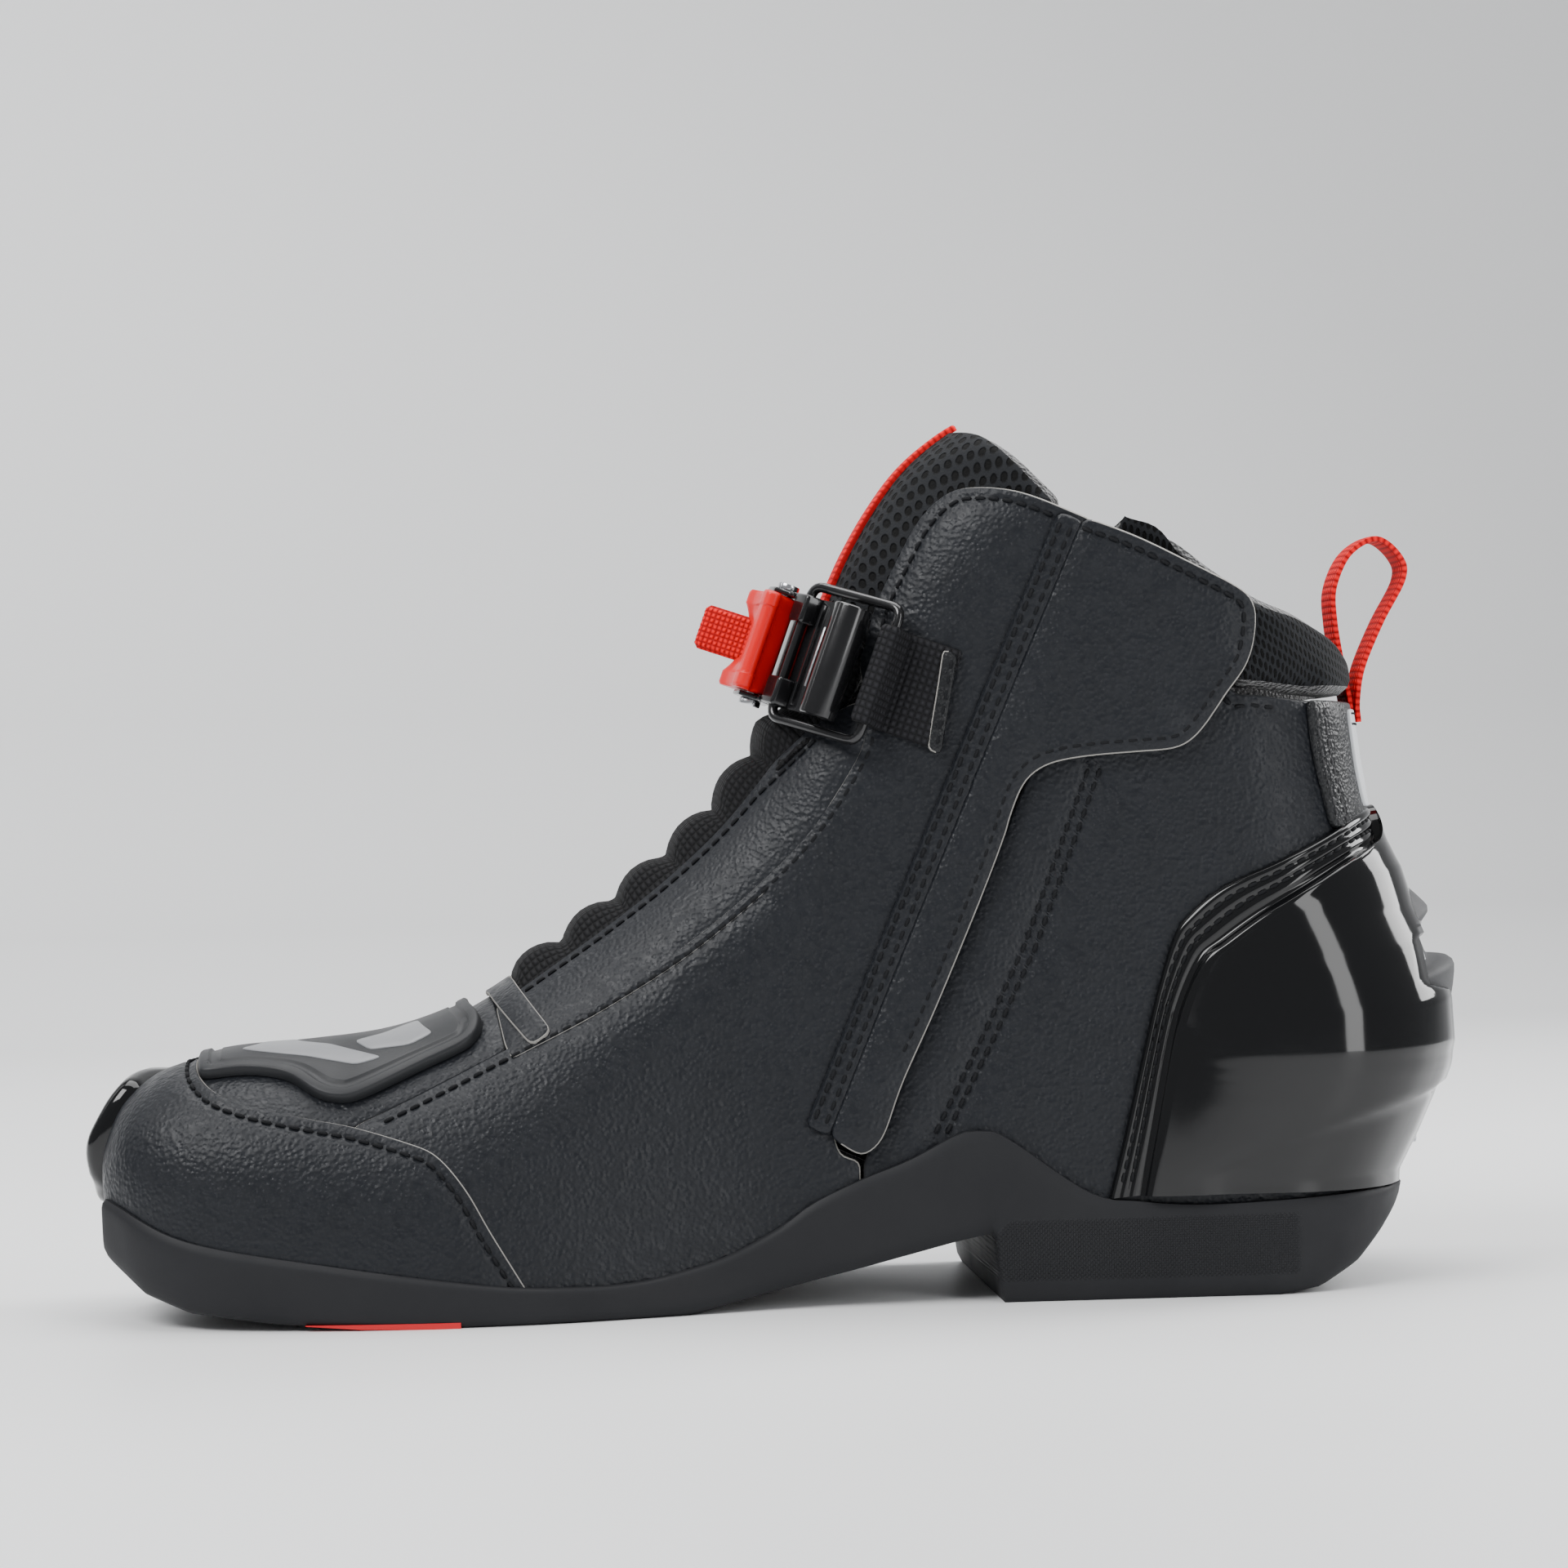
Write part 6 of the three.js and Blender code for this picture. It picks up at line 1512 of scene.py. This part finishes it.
def make_strap(looks):
    outs = np.linspace(5.0, 17.0, 14)
    middles = STRAP_MIDDLE + outs[:, None] * STRAP_OUT
    places = np.array([on_skin([(x, z)], MEDIAL)[0] for x, _, z in middles])
    sides = -skin(*places.T)[:, 1]
    inner = np.stack([outs, sides + 0.3], 1)
    outer = np.stack([outs, sides + 2.3], 1)
    nose = [np.add(LINK_REAR, polar(turn, 3.0)) for turn in range(-75, 111, 15)]
    band = soften(evenly(np.vstack([inner, nose, outer[::-1]]), WEB_STEP), 3)
    path = np.arange(len(band)) * WEB_STEP
    way = unit(np.roll(band, -1, 0) - np.roll(band, 1, 0))
    outward = np.stack([way[:, 1], -way[:, 0]], 1)
    from_nose = LINK_REAR[0] + 3.0 - band[:, 0]
    ribbed = 1 - smooth((from_nose - 8) / 2)
    rings, uv = [], []
    for up in np.linspace(-WEB_HALF, WEB_HALF, 65):
        edge = 0.5 * smooth((abs(up) - WEB_HALF + 0.9) / 0.9)
        cord = 0.16 * np.abs(np.sin(np.pi * path / 1.05)) * ribbed
        basket = 0.11 * np.sin(2 * np.pi * path / 2.1) * math.sin(2 * math.pi * up / 2.0) * (1 - ribbed)
        place = band + outward * (cord + basket - edge)[:, None]
        rings.append(in_strap(np.stack([place[:, 0], place[:, 1], np.full(len(band), up)], 1)))
        uv += [(up, d) for d in path]
    swept("strap_band", rings, np.array(uv), looks["strap_web"], "upper", ("strap_webbing",))

    border = straight([(-40.2, 144.8), (-37.0, 143.6), (-41.2, 121.4), (-44.4, 122.5), (-40.2, 144.8)])[:-1]
    far_side = straight([(-37.0, 143.6), (-41.2, 121.4)])
    seam = [on_skin(straight([(-38.3, 143.0), (-42.2, 123.0)]), MEDIAL)]
    dips, extra = with_grooves(seam, 0.3, 0.6)
    panel("strap_slot_border", on_skin(border, MEDIAL), [looks["leather_fine"], looks["raw_edge"]], lift=0.6,
          thickness=2.4, roll=0.5, spacing=1.6, height=dips, extra=extra, corner=1,
          plain=lambda p: run_distance(p[:, [0, 2]], far_side) < 1.9, replaces=("strap_slot_cover",))
    stitches("strap_slot_thread", seam, looks["thread"], height=2.75)

    half = 15.6
    radius = 1.15
    a, b = np.array(LINK_REAR), np.array(LINK_FRONT)
    corners = [(*a, -half), (*a, half), (*b, half), (*b, -half)]
    points = rounded_corners(corners, 3.0)
    tube("link_wire", in_strap(points), radius, looks["black_metal"], "link", 12,
         ("wire_link",), closed=True)

    wide, inner_wide = 13.0, 11.8
    plate = arc(-6, 40, 40.35) + arc(40, -6, PLATE_OUTER)
    solid("buckle_plate", plate, -wide, wide, looks["black_metal"], "buckle", 0.35,
          ("buckle_base",),
          place=in_strap)
    for k, (angle, reach, look) in enumerate(((29.2, 11.8, "black_metal"), (33.6, 7.0, "chrome"))):
        ridge = arc(angle - 0.9, angle + 0.9, PLATE_OUTER - 0.3, 4) + arc(angle + 0.6, angle - 0.6,
            PLATE_OUTER + 0.7, 4)
        solid(f"buckle_ridge_{k + 1}", ridge, -reach, reach, looks[look], "buckle", 0.3,
              place=in_strap)
    barrel = [p for p in round_outline(BARREL, 4.3, 40) if math.hypot(*p) > 40.4]
    order = sorted(barrel, key=lambda p: math.atan2(p[1] - BARREL[1], p[0] - BARREL[0]))
    solid("buckle_barrel", order, -wide, wide, looks["black_metal"], "buckle", 0.7,
          place=in_strap,
          segments=3)
    saddle = arc(17, 27, 41.4, 6) + arc(26, 18, 45.4, 6)
    for low, high in ((-wide, -6.5), (6.5, wide)):
        solid(f"buckle_saddle_{'low' if low < 0 else 'high'}", saddle, low, high, looks["black_metal"],
              "buckle",
              0.8, place=in_strap, segments=3)
    ear = arc(-6, 17, 40.6, 8) + arc(17, 14, 45.5, 2) + arc(12, 4, 48.9, 6) + arc(0, -6, 45.5, 3)
    for low, high, word in ((-wide, -inner_wide, "low"), (inner_wide, wide, "high")):
        solid(f"buckle_ear_{word}", ear, low, high, looks["black_metal"], "buckle", 0.4,
              place=in_strap)
    for low, high, radius, word in ((-13.8, 13.8, 1.4, "shaft"), (13.05, 14.5, 2.5, "head"),
                                    (-14.5, -13.05, 2.5, "foot")):
        solid(f"lever_pin_{word}", round_outline(LEVER_PIN, radius, 20), low, high, looks["chrome"], "buckle",
              0.35, ("lever_pin",), place=in_strap)

    make_lever(looks)

    teeth = []
    angle = 32.0
    while angle > -48:
        teeth += [polar(angle + 3.6, LADDER_OUTER), polar(angle + 3.2, LADDER_OUTER),
                  polar(angle, LADDER_OUTER - 0.8)]
        angle -= 4
    ladder = arc(-70, 36, LADDER_INNER, 40) + teeth + arc(-50, -70, LADDER_OUTER - 0.8, 6)
    solid("ladder_body", ladder, -7.5, 7.5, looks["matte"], "ladder", 0.15, ("ladder_strap",),
          place=in_strap, segments=1)


LEVER_SHAPE = [
    (-2.4, 3.1), (1.2, 4.2), (1.6, 7.6), (3.2, 8.1), (4.6, 7.6), (5.3, 4.5), (5.0, 1), (4.9, -1.5), (5.2, -4),
    (6.0, -6.6), (7.4, -9.5), (7.4, -11), (6.6, -12), (4.4, -12.2), (2.4, -10.4), (0.2, -8), (-2.4, -3.4),
    (-2.9, 0),
]
LEVER_HALF, FLANGE = 11.5, 3.6
TAB_HALF, TAB_RADIUS = 5.2, 1.75


def make_lever(looks):
    """The red lever, thick at both ends and hollowed between them, with a folded tab of webbing."""
    outline = soften(evenly(np.array(LEVER_SHAPE) + LEVER_PIN, 0.5), 2)
    centre = outline.mean(0)
    away = unit(outline - centre)
    front = smooth((outline[:, 0] - LEVER_PIN[0]) / 2)[:, None]
    low_end = smooth((LEVER_PIN[1] - 3 - outline[:, 1]) / 6) * smooth((outline[:, 0] - LEVER_PIN[0] - 1) / 4)
    path = np.arange(len(outline)) * 0.5
    rings, uv = [], []
    for up in np.linspace(-LEVER_HALF, LEVER_HALF, 93):
        inside = LEVER_HALF - FLANGE - abs(up)
        flange = 0.5 * float(smooth(-inside / 0.35))
        end = 0.7 * float(smooth((abs(up) - LEVER_HALF + 0.7) / 0.7))
        scoop = 2.6 * max(0.0, 1 - (up / (LEVER_HALF - FLANGE)) ** 2)
        place = outline + away * (flange * front - end) - np.stack([low_end * scoop,
            -0.2 * low_end * scoop], 1)
        rings.append(in_strap(np.stack([place[:, 0], place[:, 1], np.full(len(place), up)], 1)))
        uv += [(up, d) for d in path]
    swept("lever_body", rings, np.array(uv), looks["red_plastic"], "lever", ("buckle_lever",))

    root, tip = np.add(LEVER_PIN, (2.6, -9.0)), np.add(LEVER_PIN, (14.0, -13.6))
    heading = math.degrees(math.atan2(*(tip - root)[::-1]))
    nose = [np.add(tip, polar(heading + turn, TAB_RADIUS)) for turn in range(-90, 91, 15)]
    tail = [np.add(root, polar(heading + turn, TAB_RADIUS)) for turn in (90, -90)]
    outline = evenly(np.vstack([nose, tail]), 0.3)
    way = unit(np.roll(outline, -1, 0) - np.roll(outline, 1, 0))
    outward = np.stack([way[:, 1], -way[:, 0]], 1)
    path = np.arange(len(outline)) * 0.3
    rings, uv = [], []
    for up in np.linspace(-TAB_HALF, TAB_HALF, 49):
        edge = 0.9 * float(smooth((abs(up) - TAB_HALF + 1.1) / 1.1))
        weave = 0.12 * np.sin(2 * np.pi * path / 1.6) * math.sin(2 * math.pi * up / 1.5)
        place = outline + outward * (weave - edge)[:, None]
        rings.append(in_strap(np.stack([place[:, 0], place[:, 1], np.full(len(place), up)], 1)))
        uv += [(up, d) for d in path]
    swept("lever_tab", rings, np.array(uv), looks["tab_web"], "lever", ("pull_tab",))


def rounded_corners(corners, radius, steps=6, spacing=1.2):
    """A closed run through 3-D corners, each turned with a radius."""
    corners = [np.array(c, float) for c in corners]
    points = []
    for k, corner in enumerate(corners):
        before, after = corners[k - 1], corners[(k + 1) % len(corners)]
        one = corner + unit(before - corner) * radius
        other = corner + unit(after - corner) * radius
        for t in np.linspace(0, 1, steps):
            points.append((1 - t) ** 2 * one + 2 * t * (1 - t) * corner + t * t * other)
        following = after + unit(corner - after) * radius
        length = np.linalg.norm(following - other)
        for t in np.arange(spacing, length - spacing / 2, spacing) / length:
            points.append(other + (following - other) * t)
    return np.array(points)


def make_all():
    looks = make_looks()
    looks["strap_web"] = weave_look("strap_webbing", (0.013, 0.013, 0.015), 1.6, 0.5)
    looks["tab_web"] = weave_look("tab_webbing", (0.70, 0.002, 0.006), 1.2, 0.4)
    make_upper(looks)
    make_flap(looks)
    make_stretch(looks)
    make_tongue(looks)
    make_tongue_webbing(looks)
    make_sole(looks)
    make_heel_cup(looks)
    make_heel_fins(looks)
    make_backstay(looks)
    ribbon("pull_loop_web", LOOP_LINE, 5.5, 1.5, looks["red_webbing"], ("pull_loop",))
    make_toe_parts(looks)
    make_zip(looks)
    make_strap(looks)
    carry_over(looks, {
        "lining_medial": "lining", "lining_lateral": "lining", "footbed": "foam", "insole_board": "board",
        "toe_puff": "board", "heel_stiffener": "board", "ankle_pad_medial": "foam",
        "ankle_pad_lateral": "foam",
        "shank_plate": "chrome", "tread_insert": "red_rubber",
        "heel_screw": "chrome", "toe_slider_screw_1": "chrome", "toe_slider_screw_2": "chrome",
        "lever_spring": "chrome", "ladder_anchor": "black_metal", "anchor_screw": "chrome",
    })


make_studio()
make_camera()
make_all()
